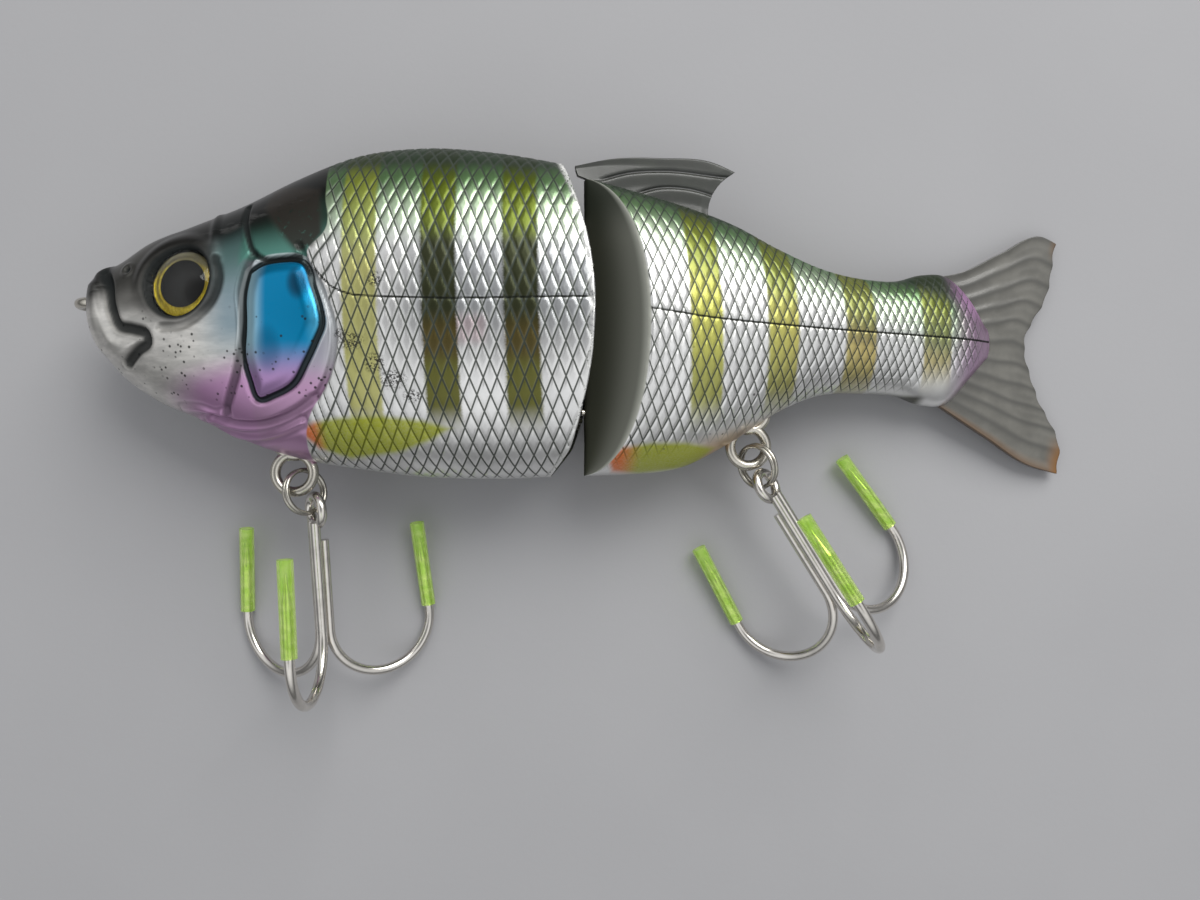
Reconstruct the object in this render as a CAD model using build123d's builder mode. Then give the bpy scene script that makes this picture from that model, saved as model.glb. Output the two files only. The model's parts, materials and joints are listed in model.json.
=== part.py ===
from build123d import *
import math
import os

# Two-piece hard swimbait, lying on its right flank.
# X runs from the snout to the tail, Y from the belly to the back, and Z is up, through the left flank.
# The parts are drawn with the joint's pin on the Y axis and the front section's mid-plane at Z = 0.
# At the end everything moves together, so that the model stands centred on its origin.

# Body
HEAD_LENGTH = 76.0          # pin to snout
TAIL_LENGTH = 70.9          # pin to the rounded end of the tail section
BODY_DEPTH = 52.0           # the scale of all heights along Y
BODY_WIDTH = 28.0           # flank to flank at the widest point
SHELL_WALL = 2.0
SECTION_FULLNESS = 0.575    # 0.552 gives elliptical quarters, more gives squarer ones
WAIST_SHARE = 0.52          # height of the widest line, from the belly
BURY = 0.05                 # gap round wires that the shells are glued over
PLATE_GAP = 0.1             # gap round fins, weights and locating pegs

# Tail joint
REST_SWING = 8.5            # the tail section leans down to the floor by this angle
LIP_REACH = 3.9             # front section's rim, behind the pin
TROUGH_DEPTH = 1.7          # hollow rear face, ahead of the pin
LIP_HALF_WIDTH = 13.0
WEDGE_TIP = 1.2             # sharp tip of the tail section's wedge, before rounding
WEDGE_SHOULDER = 11.0       # where the wedge meets the flanks
WEDGE_ROUNDING = 3.0
PIN_DIAMETER = 1.3
PIN_FIT = 0.06              # radial running clearance of the pin in its eyes
PIN_HEAD_DIAMETER = 2.5
PIN_HEAD_HEIGHT = 0.7
HINGE_WIRE = 1.0
HINGE_STEM = 9.0
THREAD_PITCH = 1.0
THREAD_HEIGHT = 0.25
EYE_SPACING = 1.4           # between a front eye and the tail eye beside it
UPPER_EYE = 12.0            # height of the front section's upper eye
LOWER_EYE = -19.4           # height of the front section's lower eye
CHANNEL_GAP = 0.4           # clear space round the eyes

# Wire fittings in the body
FITTING_WIRE = 1.7
HANGER_OUTER = 7.8          # outside diameter of a hook hanger's loops
TIE_OUTER = 7.0             # outside diameter of the line tie's loops
HANGER_DROP = 2.7           # loop centre below the belly line
FRONT_HANGER_X = -44.4
REAR_HANGER_X = 29.2
TIE_REACH = 2.8             # how far the line tie stands out of the snout
TIE_POCKET = 3.8            # diameter of the clearing above and below the line tie
LOOP_PITCH = 1.9            # between the two loops of a fitting, in loop radii

# Eyes
EYE_DIAMETER = 10.6
EYE_X = -59.4
EYE_Y = 1.6
EYE_SINK = 0.8
EYE_SOCKET_DEPTH = 2.6
EYE_FORWARD_TILT = 15.0
EYE_UPWARD_TILT = 11.0
IRIS_THICKNESS = 0.8
LENS_EDGE = 0.7
LENS_CROWN = 1.8

# Weights
WEIGHT_DIAMETER = 8.0
FRONT_WEIGHT_LENGTH = 20.0
FRONT_WEIGHT_X = -26.0
FRONT_WEIGHT_Y = -20.0
TAIL_WEIGHT_LENGTH = 9.0
TAIL_WEIGHT_X = 19.0
TAIL_WEIGHT_Y = -17.0

# Air chambers: the sections along X that each is drawn through, and its floor
HEAD_CHAMBER = (-65.0, -58.0, -50.0)
HEAD_CHAMBER_FLOOR = -12.0
HEAD_CHAMBER_WALL = 5.0     # thicker, to leave the eye sockets a bottom
FRONT_CHAMBER = (-39.0, -31.0, -23.0, -15.0)
FRONT_CHAMBER_FLOOR = -14.0
TAIL_CHAMBER = (26.5, 34.0, 42.0)
TAIL_CHAMBER_FLOOR = -9.0

# Locating pegs of the shells
PEG_DIAMETER = 2.4
PEG_LENGTH = 2.0
FRONT_PEGS = ((-45.0, 8.0), (-10.0, 14.0), (-11.0, -11.0))
TAIL_PEGS = ((14.0, 9.5), (13.0, -10.0), (46.0, -5.0))

# Fins
DORSAL_THICKNESS = 1.4
TAIL_FIN_THICKNESS = 1.6
FIN_ROOT = 2.5

# Split rings
RING_WIRE = 0.72
RING_MEAN = 7.0             # diameter of the wire's centre line
FRONT_RING_DIP = 16.0       # how far the front ring slopes down to its hook
REAR_RING_DIP = -7.0        # the rear ring starts lower, so it slopes up a little
RING_TILT = 50.0            # lean of a ring's plane, so that it threads both eyes
RING_LIFT = 0.3             # the ring's wire rides this far above the loop's middle
RING_JOG = 25.0             # angle over which the wire steps from one turn to the next

# Treble hooks
HOOK_WIRE = 1.6
HOOK_EYE_MEAN = 4.6
HOOK_EYE_TWIST = 40.0       # the eye is bent round the shank, towards the split ring
HOOK_SHANK = 20.0           # eye centre to the start of the bend
HOOK_BEND = 8.6             # radius of the bend
HOOK_LEAN = 5.0             # the arms lean in by this angle
HOOK_ARM = 8.5
HOOK_POINT = 4.5
THIRD_WIRE_START = 5.0      # the brazed-on third hook starts this far below the eye
BRAZE_GAP = 0.03
CAP_OUTER = 2.4
CAP_LENGTH = 14.5
CAP_SETBACK = 0.6
CAP_FIT = 0.06

# Directions of the two hooks as they lie, in degrees from straight below towards the tail
FRONT_RING_HEADING = 26.0
FRONT_SHANK_HEADING = 2.0
REAR_RING_HEADING = 24.0
REAR_SHANK_HEADING = 32.0

# Body outlines: share of the section's length from the pin, then the back and the belly
# as shares of BODY_DEPTH, then the half width as a share of half BODY_WIDTH.
FRONT_STATIONS = (
    (1.005, 0.046, -0.077, 0.13),
    (0.988, 0.085, -0.138, 0.29),
    (0.947, 0.106, -0.223, 0.41),
    (0.875, 0.173, -0.304, 0.55),
    (0.788, 0.221, -0.363, 0.69),
    (0.678, 0.283, -0.437, 0.81),
    (0.559, 0.367, -0.492, 0.907),
    (0.441, 0.433, -0.521, 0.97),
    (0.309, 0.458, -0.544, 1.0),
    (0.151, 0.444, -0.550, 0.985),
    (0.020, 0.412, -0.542, 0.95),
    (-0.072, 0.385, -0.531, 0.92),
)
TAIL_STATIONS = (
    (0.007, 0.377, -0.542, 0.93),
    (0.120, 0.342, -0.538, 0.907),
    (0.254, 0.296, -0.515, 0.814),
    (0.365, 0.246, -0.440, 0.73),
    (0.478, 0.171, -0.344, 0.643),
    (0.585, 0.113, -0.288, 0.557),
    (0.698, 0.085, -0.281, 0.464),
    (0.769, 0.083, -0.287, 0.414),
    (0.839, 0.106, -0.317, 0.357),
    (0.896, 0.102, -0.313, 0.30),
    (0.952, 0.038, -0.238, 0.214),
    (1.000, -0.058, -0.169, 0.086),
)

# Sizes that follow from the ones above
FLOOR = -BODY_WIDTH / 2
HANGER_RADIUS = (HANGER_OUTER - FITTING_WIRE) / 2
TIE_RADIUS = (TIE_OUTER - FITTING_WIRE) / 2
EYE_BORE = PIN_DIAMETER / 2 + PIN_FIT
HINGE_LOOP = EYE_BORE + HINGE_WIRE / 2
CHANNEL_RADIUS = EYE_BORE + HINGE_WIRE + CHANNEL_GAP
SHANK_OFFSET = (HOOK_WIRE + BRAZE_GAP) / math.sqrt(3)
CENTRED_ON_BASE = (Align.CENTER, Align.CENTER, Align.MIN)


def body_line(stations, length, x):
    """Back height, belly height and half width of a body section at x."""
    share = abs(x) / length
    rows = sorted(stations)
    share = min(max(share, rows[0][0]), rows[-1][0])
    for near, far in zip(rows, rows[1:]):
        if share <= far[0]:
            break
    t = (share - near[0]) / (far[0] - near[0])
    back, belly, half = (a + t * (b - a) for a, b in zip(near[1:], far[1:]))
    return back * BODY_DEPTH, belly * BODY_DEPTH, half * BODY_WIDTH / 2


def front_line(x):
    return body_line(FRONT_STATIONS, HEAD_LENGTH, x)


def tail_line(x):
    return body_line(TAIL_STATIONS, TAIL_LENGTH, x)


def draw_section(x, back, belly, half):
    """Cross-section square to the body's length, from four bulged quarter curves."""
    waist = belly + WAIST_SHARE * (back - belly)
    k = SECTION_FULLNESS
    with BuildSketch(Plane.YZ.offset(x)) as section:
        with BuildLine():
            for side in (1, -1):
                flank = (waist, side * half)
                for ridge in (back, belly):
                    Bezier(
                        flank,
                        (waist + k * (ridge - waist), side * half),
                        (ridge, side * half * k),
                        (ridge, 0),
                    )
        make_face()
    return section.sketch


def skin(stations, length, direction):
    """Outer form of a body section, lofted through its stations."""
    sections = [
        draw_section(direction * share * length, back * BODY_DEPTH, belly * BODY_DEPTH, half * BODY_WIDTH / 2)
        for share, back, belly, half in stations
    ]
    with BuildPart() as form:
        loft(sections)
    return form.part


def chamber(line, stops, floor, side_wall=SHELL_WALL):
    """Air chamber that follows the skin from the inside, above a solid belly."""
    sections = []
    for x in stops:
        back, belly, half = line(x)
        roof = back - 1.5 * SHELL_WALL
        sections.append(draw_section(x, roof, max(floor, belly + SHELL_WALL), half - side_wall))
    with BuildPart() as space:
        loft(sections)
    return space.part


def wire_eight(plane, radius, wire):
    """Figure-of-eight wire: outer loop on the plane's origin, inner loop along its X."""
    with BuildPart(plane) as eight:
        with Locations((0, 0), (LOOP_PITCH * radius, 0)):
            Torus(radius, wire / 2)
    return eight.part


def hanger_plane(line, x):
    return Plane(origin=(x, line(x)[1] - HANGER_DROP, 0), x_dir=(0, 1, 0), z_dir=(0, 0, 1))


def tie_plane():
    snout = -FRONT_STATIONS[0][0] * HEAD_LENGTH
    mid = (FRONT_STATIONS[0][1] + FRONT_STATIONS[0][2]) / 2 * BODY_DEPTH
    return Plane(origin=(snout - TIE_REACH + TIE_OUTER / 2, mid, 0), x_dir=(1, 0, 0), z_dir=(0, -1, 0))


def upright_cylinder(x, top, bottom, radius):
    """Cylinder along Y."""
    with BuildPart() as rod:
        with BuildSketch(Plane.XZ.offset(-top)):
            with Locations((x, 0)):
                Circle(radius)
        extrude(amount=top - bottom)
    return rod.part


def lengthwise_cylinder(middle, y, radius, length):
    """Cylinder along X on the mid-plane."""
    with BuildPart() as rod:
        with BuildSketch(Plane.YZ.offset(middle - length / 2)):
            with Locations((y, 0)):
                Circle(radius)
        extrude(amount=length)
    return rod.part


def hinge_eye(direction, height):
    """Screw eye: a ring round the pin and a threaded stem into its section."""
    core = HINGE_WIRE / 2
    crest = core + THREAD_HEIGHT
    stem_start = HINGE_LOOP
    with BuildPart() as eye:
        with Locations(Location((0, height, 0), (90, 0, 0))):
            Torus(HINGE_LOOP, core)
        with BuildSketch(Plane.XY):
            with BuildLine():
                points = [(stem_start, 0), (stem_start, core), (HINGE_LOOP + 2 * core, core)]
                turns = int((HINGE_STEM - 2 * core) / THREAD_PITCH)
                for turn in range(turns):
                    x = points[2][0] + turn * THREAD_PITCH
                    points += [(x + THREAD_PITCH / 2, crest), (x + THREAD_PITCH, core)]
                points.append((points[-1][0], 0))
                Polyline([(direction * x, height + y) for x, y in points], close=True)
            make_face()
        revolve(axis=Axis((0, height, 0), (1, 0, 0)))
    return eye.part


def stem_bore(direction, height):
    """Hole that a hinge eye's stem is glued into."""
    radius = HINGE_WIRE / 2 + THREAD_HEIGHT + BURY
    length = HINGE_LOOP + HINGE_STEM + HINGE_WIRE
    return lengthwise_cylinder(direction * length / 2, height, radius, length)


def eye_plane(side):
    half = front_line(EYE_X)[2]
    forward = math.sin(math.radians(EYE_FORWARD_TILT))
    upward = math.sin(math.radians(EYE_UPWARD_TILT))
    outward = math.sqrt(1 - forward**2 - upward**2)
    return Plane(origin=(EYE_X, EYE_Y, side * (half - EYE_SINK)), z_dir=(-forward, upward, side * outward))


def eye_socket(side):
    with BuildPart(eye_plane(side).offset(-EYE_SOCKET_DEPTH)) as socket:
        Cylinder(EYE_DIAMETER / 2 + PLATE_GAP, 2 * EYE_SOCKET_DEPTH, align=CENTRED_ON_BASE)
    return socket.part


def iris(side):
    with BuildPart(eye_plane(side).offset(-EYE_SOCKET_DEPTH)) as disc:
        Cylinder(EYE_DIAMETER / 2, IRIS_THICKNESS, align=CENTRED_ON_BASE)
    return disc.part


def lens(side):
    """Clear dome over the iris: a short edge and a spherical crown."""
    radius = EYE_DIAMETER / 2
    crown = (radius**2 + LENS_CROWN**2) / (2 * LENS_CROWN)
    with BuildPart(eye_plane(side).offset(IRIS_THICKNESS - EYE_SOCKET_DEPTH)) as dome:
        Cylinder(radius, LENS_EDGE + LENS_CROWN, align=CENTRED_ON_BASE)
        with Locations((0, 0, LENS_EDGE + LENS_CROWN - crown)):
            Sphere(crown, mode=Mode.INTERSECT)
    return dome.part


def front_body():
    """Whole front section, before it is parted along its mid-plane."""
    trough_rise = LIP_REACH + TROUGH_DEPTH
    trough_radius = (trough_rise**2 + LIP_HALF_WIDTH**2) / (2 * trough_rise)
    ahead = -1.2 * HEAD_LENGTH
    with BuildPart() as body:
        add(skin(FRONT_STATIONS, HEAD_LENGTH, -1))
        # rear edge in side view
        with BuildSketch(Plane.XY):
            with BuildLine():
                rim = Spline(
                    (LIP_REACH - 7.2, 0.46 * BODY_DEPTH),
                    (LIP_REACH - 2.4, 0.346 * BODY_DEPTH),
                    (LIP_REACH - 0.2, 0.154 * BODY_DEPTH),
                    (LIP_REACH, 0),
                    (LIP_REACH - 0.6, -0.21 * BODY_DEPTH),
                    (LIP_REACH - 2.6, -0.413 * BODY_DEPTH),
                    (LIP_REACH - 8.2, -0.57 * BODY_DEPTH),
                )
                Polyline(rim @ 1, (ahead, -BODY_DEPTH), (ahead, BODY_DEPTH), rim @ 0)
            make_face()
        extrude(amount=BODY_WIDTH, both=True, mode=Mode.INTERSECT)
        # hollow rear face
        with BuildSketch(Plane.XZ):
            with Locations((trough_radius - TROUGH_DEPTH, 0)):
                Circle(trough_radius)
        extrude(amount=BODY_DEPTH, both=True, mode=Mode.SUBTRACT)
        add(upright_cylinder(0, BODY_DEPTH, -BODY_DEPTH, CHANNEL_RADIUS), mode=Mode.SUBTRACT)
        # air chambers ahead of the hanger and behind it
        add(chamber(front_line, HEAD_CHAMBER, HEAD_CHAMBER_FLOOR, HEAD_CHAMBER_WALL), mode=Mode.SUBTRACT)
        add(chamber(front_line, FRONT_CHAMBER, FRONT_CHAMBER_FLOOR), mode=Mode.SUBTRACT)
        # seats
        weight = lengthwise_cylinder(
            FRONT_WEIGHT_X, FRONT_WEIGHT_Y, WEIGHT_DIAMETER / 2 + PLATE_GAP, FRONT_WEIGHT_LENGTH + 2 * PLATE_GAP
        )
        add(weight, mode=Mode.SUBTRACT)
        hanger = wire_eight(hanger_plane(front_line, FRONT_HANGER_X), HANGER_RADIUS, FITTING_WIRE + 2 * BURY)
        add(hanger, mode=Mode.SUBTRACT)
        add(wire_eight(tie_plane(), TIE_RADIUS, FITTING_WIRE + 2 * BURY), mode=Mode.SUBTRACT)
        tie = tie_plane().origin
        clearing = upright_cylinder(tie.X - TIE_POCKET / 8, tie.Y + TIE_POCKET, tie.Y - TIE_POCKET, TIE_POCKET / 2)
        add(clearing, mode=Mode.SUBTRACT)
        for height in (UPPER_EYE, LOWER_EYE):
            add(stem_bore(-1, height), mode=Mode.SUBTRACT)
        for side in (1, -1):
            add(eye_socket(side), mode=Mode.SUBTRACT)
    return body.part


def tail_body():
    """Whole tail section, straight behind the pin, before it is parted along its mid-plane."""
    reach = 1.5 * TAIL_LENGTH
    slope = LIP_HALF_WIDTH / (WEDGE_SHOULDER - WEDGE_TIP)
    beyond = 1.5 * LIP_HALF_WIDTH
    with BuildPart() as body:
        add(skin(TAIL_STATIONS, TAIL_LENGTH, 1))
        # wedge-shaped front
        with BuildSketch(Plane.XZ) as wedge:
            with BuildLine():
                Polyline(
                    (WEDGE_TIP, 0),
                    (WEDGE_TIP + beyond / slope, beyond),
                    (reach, beyond),
                    (reach, -beyond),
                    (WEDGE_TIP + beyond / slope, -beyond),
                    close=True,
                )
            make_face()
            fillet(wedge.vertices().sort_by(Axis.X)[0], WEDGE_ROUNDING)
        extrude(amount=BODY_DEPTH, both=True, mode=Mode.INTERSECT)
        add(upright_cylinder(0, BODY_DEPTH, -BODY_DEPTH, CHANNEL_RADIUS), mode=Mode.SUBTRACT)
        add(chamber(tail_line, TAIL_CHAMBER, TAIL_CHAMBER_FLOOR), mode=Mode.SUBTRACT)
        weight = lengthwise_cylinder(
            TAIL_WEIGHT_X, TAIL_WEIGHT_Y, WEIGHT_DIAMETER / 2 + PLATE_GAP, TAIL_WEIGHT_LENGTH + 2 * PLATE_GAP
        )
        add(weight, mode=Mode.SUBTRACT)
        hanger = wire_eight(hanger_plane(tail_line, REAR_HANGER_X), HANGER_RADIUS, FITTING_WIRE + 2 * BURY)
        add(hanger, mode=Mode.SUBTRACT)
        for height in (UPPER_EYE - EYE_SPACING, LOWER_EYE + EYE_SPACING):
            add(stem_bore(1, height), mode=Mode.SUBTRACT)
        add(dorsal_fin(PLATE_GAP), mode=Mode.SUBTRACT)
        add(tail_fin(PLATE_GAP), mode=Mode.SUBTRACT)
    return body.part


def shell_half(body, side, pegs):
    """One shell of a section; the left one carries the locating pegs."""
    grown = PEG_DIAMETER / 2 + PLATE_GAP
    with BuildPart() as shell:
        add(body)
        split(bisect_by=Plane.XY, keep=Keep.TOP if side > 0 else Keep.BOTTOM)
        for x, y in pegs:
            if side > 0:
                with Locations((x, y, -PEG_LENGTH)):
                    Cylinder(PEG_DIAMETER / 2, PEG_LENGTH + PEG_DIAMETER / 2, align=CENTRED_ON_BASE)
            else:
                with Locations((x, y, -PEG_LENGTH - PLATE_GAP)):
                    Cylinder(grown, PEG_LENGTH + PLATE_GAP, align=CENTRED_ON_BASE, mode=Mode.SUBTRACT)
    return shell.part


def dorsal_fin(grow=0.0):
    """Soft back fin with its root in a slot, or that slot when grown in thickness."""
    def above(x, height):
        return (x, tail_line(x)[0] + height)

    with BuildPart() as fin:
        with BuildSketch(Plane.XY):
            with BuildLine():
                top = Spline(above(0.4, 1.8), above(6.3, 4.6), above(14.7, 7.1), above(22.8, 9.2), above(27.0, 9.3))
                trailing = Spline(top @ 1, above(24.6, 6.2), above(22.6, 2.6), above(22.2, -0.4))
                Polyline(
                    trailing @ 1,
                    above(21.0, -FIN_ROOT),
                    above(13.0, -FIN_ROOT),
                    above(6.0, -FIN_ROOT),
                    above(5.4, 0.2),
                    above(1.0, 0.3),
                    top @ 0,
                )
            make_face()
        extrude(amount=DORSAL_THICKNESS / 2 + grow, both=True)
    return fin.part


def tail_fin(grow=0.0):
    """Soft tail fin with its root in the tail section, or its slot when grown in thickness."""
    def at(behind, share):
        return (TAIL_LENGTH + behind, share * BODY_DEPTH)

    with BuildPart() as fin:
        with BuildSketch(Plane.XY):
            with BuildLine():
                upper = Spline(at(-10.9, 0.094), at(-4.5, 0.117), at(3.0, 0.185), at(10.4, 0.243), at(13.0, 0.222))
                trailing = Spline(
                    upper @ 1, at(11.4, 0.05), at(7.3, -0.104), at(9.3, -0.27), at(13.8, -0.471), at(13.1, -0.54)
                )
                lower = Spline(trailing @ 1, at(8.0, -0.512), at(0.1, -0.42), at(-9.0, -0.312))
                Polyline(
                    lower @ 1,
                    at(-12.9, -0.31),
                    at(-20.6, -0.276),
                    at(-20.6, -0.15),
                    at(-14.0, 0.05),
                    upper @ 0,
                )
            make_face()
        extrude(amount=TAIL_FIN_THICKNESS / 2 + grow, both=True)
    return fin.part


def hinge_pin():
    """Pin through the four eyes, with a head above them and a peened foot below."""
    top = UPPER_EYE + HINGE_WIRE / 2 + PLATE_GAP
    bottom = LOWER_EYE - HINGE_WIRE / 2 - PLATE_GAP
    with BuildPart() as pin:
        add(upright_cylinder(0, top, bottom, PIN_DIAMETER / 2))
        add(upright_cylinder(0, top + PIN_HEAD_HEIGHT, top, PIN_HEAD_DIAMETER / 2))
        add(upright_cylinder(0, bottom, bottom - PIN_HEAD_HEIGHT, PIN_HEAD_DIAMETER / 2))
    return pin.part


def split_ring():
    """Two turns of wire side by side, with a step between them, in its own XY plane."""
    radius = RING_MEAN / 2
    rise = RING_WIRE / 2 + BRAZE_GAP
    jog = math.radians(RING_JOG)
    pull = radius * jog / 3
    jog_end = Vector(radius, 0, rise)
    with BuildPart() as ring:
        with BuildLine() as path:
            first = CenterArc((0, 0, -rise), radius, 8, 352 - RING_JOG)
            Bezier(
                first @ 1,
                (first @ 1) + (first % 1) * pull,
                jog_end - Vector(0, pull, 0),
                jog_end,
            )
            CenterArc((0, 0, rise), radius, 0, 352 - RING_JOG)
        with BuildSketch(Plane(origin=path.line @ 0, z_dir=path.line % 0)):
            Circle(RING_WIRE / 2)
        sweep(path=path.line)
    return ring.part


def hook_arm(start):
    """One hook of the treble in its own XY plane: shank along -Y, arm out along +X."""
    with BuildPart() as arm:
        with BuildLine() as path:
            shank = Line((SHANK_OFFSET, -start), (SHANK_OFFSET, -HOOK_SHANK))
            bend = JernArc(start=shank @ 1, tangent=shank % 1, radius=HOOK_BEND, arc_size=180 + HOOK_LEAN)
            Line(bend @ 1, (bend @ 1) + (bend % 1) * HOOK_ARM)
        with BuildSketch(Plane(origin=shank @ 0, z_dir=shank % 0)):
            Circle(HOOK_WIRE / 2)
        sweep(path=path.line)
        with Locations(Plane(origin=path.line @ 1, z_dir=path.line % 1)):
            Cone(HOOK_WIRE / 2, HOOK_WIRE / 20, HOOK_POINT, align=CENTRED_ON_BASE)
    return arm.part


def cap_plane():
    """Start of a point guard, on the straight of a hook's arm."""
    centre = Vector(SHANK_OFFSET + HOOK_BEND, -HOOK_SHANK)
    lean = math.radians(HOOK_LEAN)
    direction = Vector(-math.sin(lean), math.cos(lean))
    bend_end = centre + Vector(math.cos(lean), math.sin(lean)) * HOOK_BEND
    return Plane(origin=bend_end + direction * CAP_SETBACK, z_dir=direction)


def point_cap():
    """Open soft sleeve pushed over a hook's point."""
    with BuildPart(cap_plane()) as cap:
        Cylinder(CAP_OUTER / 2, CAP_LENGTH, align=CENTRED_ON_BASE)
        Cylinder(HOOK_WIRE / 2 + CAP_FIT, CAP_LENGTH, align=CENTRED_ON_BASE, mode=Mode.SUBTRACT)
    return cap.part


def double_hook():
    """Long wire of the treble: the upper and nose-side hooks, and the eye between them."""
    with BuildPart() as wire:
        for angle in (90, 210):
            add(hook_arm(HOOK_EYE_MEAN / 2 - HOOK_WIRE / 4).rotate(Axis.Y, -angle))
        with Locations(Location((0, 0, 0), (0, 90 + HOOK_EYE_TWIST, 0))):
            Torus(HOOK_EYE_MEAN / 2, HOOK_WIRE / 2)
    return wire.part


def shank_slope(eye_height):
    """Angle at which a treble lies on its two lower arms, its eye held above the floor."""
    out = math.sin(math.radians(30))
    sleeve = cap_plane()
    sleeve_ends = (sleeve.origin, sleeve.origin + sleeve.z_dir * CAP_LENGTH)

    def depth(angle):
        across, along = out * math.cos(angle), math.sin(angle)
        bend = across * (SHANK_OFFSET + HOOK_BEND) + along * HOOK_SHANK
        wire = bend + HOOK_BEND * math.hypot(across, along) + HOOK_WIRE / 2
        guard = max(across * end.X - along * end.Y for end in sleeve_ends) + CAP_OUTER / 2
        return max(wire, guard)

    low, high = 0.0, math.pi / 3
    for _ in range(50):
        middle = (low + high) / 2
        if depth(middle) < eye_height:
            low = middle
        else:
            high = middle
    return math.degrees(low)


def heading(angle, dip):
    """Unit vector: angle from straight below towards the tail, then down by dip."""
    angle, dip = math.radians(angle), math.radians(dip)
    return Vector(math.sin(angle) * math.cos(dip), -math.cos(angle) * math.cos(dip), -math.sin(dip))


def hook_chain(loop_centre, ring_heading, ring_dip, shank_heading, ring_side):
    """Where a hanger's split ring and treble lie: the two planes to place them by."""
    lead = heading(ring_heading, ring_dip)
    threaded = loop_centre + Vector(0, 0, RING_LIFT)
    eye = threaded + lead * RING_MEAN
    tilt = math.radians(RING_TILT)
    sideways = heading(ring_heading + 90 * ring_side, 0) * -math.cos(tilt)
    across = sideways + Vector(0, 0, math.sin(tilt))
    ring_plane = Plane(origin=threaded + lead * (RING_MEAN / 2), x_dir=lead, z_dir=lead.cross(across))
    shank = heading(shank_heading, shank_slope(eye.Z - FLOOR))
    up = Vector(0, 0, 1) - shank * shank.Z
    hook_plane = Plane(origin=eye, x_dir=up.cross(shank), z_dir=up)
    return ring_plane, hook_plane


def swung(part):
    """Tail pieces turn about the pin until they lie on the floor."""
    return part.rotate(Axis.Y, REST_SWING)


def build_pieces():
    pieces = {}
    front = front_body()
    tail = tail_body()
    for side, name in ((1, "left"), (-1, "right")):
        pieces["front_shell_" + name] = shell_half(front, side, FRONT_PEGS)
        pieces["tail_shell_" + name] = swung(shell_half(tail, side, TAIL_PEGS))
        pieces["eye_iris_" + name] = iris(side)
        pieces["eye_lens_" + name] = lens(side)
    pieces["line_tie"] = wire_eight(tie_plane(), TIE_RADIUS, FITTING_WIRE)
    pieces["dorsal_fin"] = swung(dorsal_fin())
    pieces["tail_fin"] = swung(tail_fin())

    pieces["hinge_pin"] = hinge_pin()
    pieces["front_hinge_eye_upper"] = hinge_eye(-1, UPPER_EYE)
    pieces["front_hinge_eye_lower"] = hinge_eye(-1, LOWER_EYE)
    pieces["tail_hinge_eye_upper"] = swung(hinge_eye(1, UPPER_EYE - EYE_SPACING))
    pieces["tail_hinge_eye_lower"] = swung(hinge_eye(1, LOWER_EYE + EYE_SPACING))
    pieces["front_weight"] = lengthwise_cylinder(
        FRONT_WEIGHT_X, FRONT_WEIGHT_Y, WEIGHT_DIAMETER / 2, FRONT_WEIGHT_LENGTH
    )
    pieces["tail_weight"] = swung(
        lengthwise_cylinder(TAIL_WEIGHT_X, TAIL_WEIGHT_Y, WEIGHT_DIAMETER / 2, TAIL_WEIGHT_LENGTH)
    )

    front_hanger = hanger_plane(front_line, FRONT_HANGER_X)
    rear_hanger = hanger_plane(tail_line, REAR_HANGER_X)
    pieces["front_hook_hanger"] = wire_eight(front_hanger, HANGER_RADIUS, FITTING_WIRE)
    pieces["rear_hook_hanger"] = swung(wire_eight(rear_hanger, HANGER_RADIUS, FITTING_WIRE))
    rear_loop = rear_hanger.origin.rotate(Axis.Y, REST_SWING)
    front_wires = double_hook(), hook_arm(THIRD_WIRE_START).rotate(Axis.Y, 30)
    rear_wires = [wire.mirror(Plane.YZ) for wire in front_wires]
    chains = (
        ("front", (front_hanger.origin, FRONT_RING_HEADING, FRONT_RING_DIP, FRONT_SHANK_HEADING, 1), front_wires),
        ("rear", (rear_loop, REAR_RING_HEADING, REAR_RING_DIP, REAR_SHANK_HEADING, -1), rear_wires),
    )
    for end, lie, wires in chains:
        ring_plane, hook_plane = hook_chain(*lie)
        pieces[end + "_split_ring"] = split_ring().moved(ring_plane.location)
        place = hook_plane.location
        pieces[end + "_treble_double_hook"] = wires[0].moved(place)
        pieces[end + "_treble_third_hook"] = wires[1].moved(place)
        for where, angle in (("upper", 90), ("nose_side", 210), ("tail_side", -30)):
            name = end + "_point_cap_" + where
            pieces[name] = point_cap().rotate(Axis.Y, -angle).moved(place)
    return pieces


os.makedirs("parts", exist_ok=True)
pieces = build_pieces()
boxes = [piece.bounding_box() for piece in pieces.values()]
low = [min(getattr(box.min, axis) for box in boxes) for axis in "XYZ"]
high = [max(getattr(box.max, axis) for box in boxes) for axis in "XYZ"]
to_origin = Location((-(low[0] + high[0]) / 2, -(low[1] + high[1]) / 2, -low[2]))
for name, piece in pieces.items():
    placed = piece.moved(to_origin)
    placed.label = name
    export_step(placed, "parts/" + name + ".step")
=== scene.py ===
"""The looks of a two-piece swimbait that lies on its right flank."""
import functools
import json
import math

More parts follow.
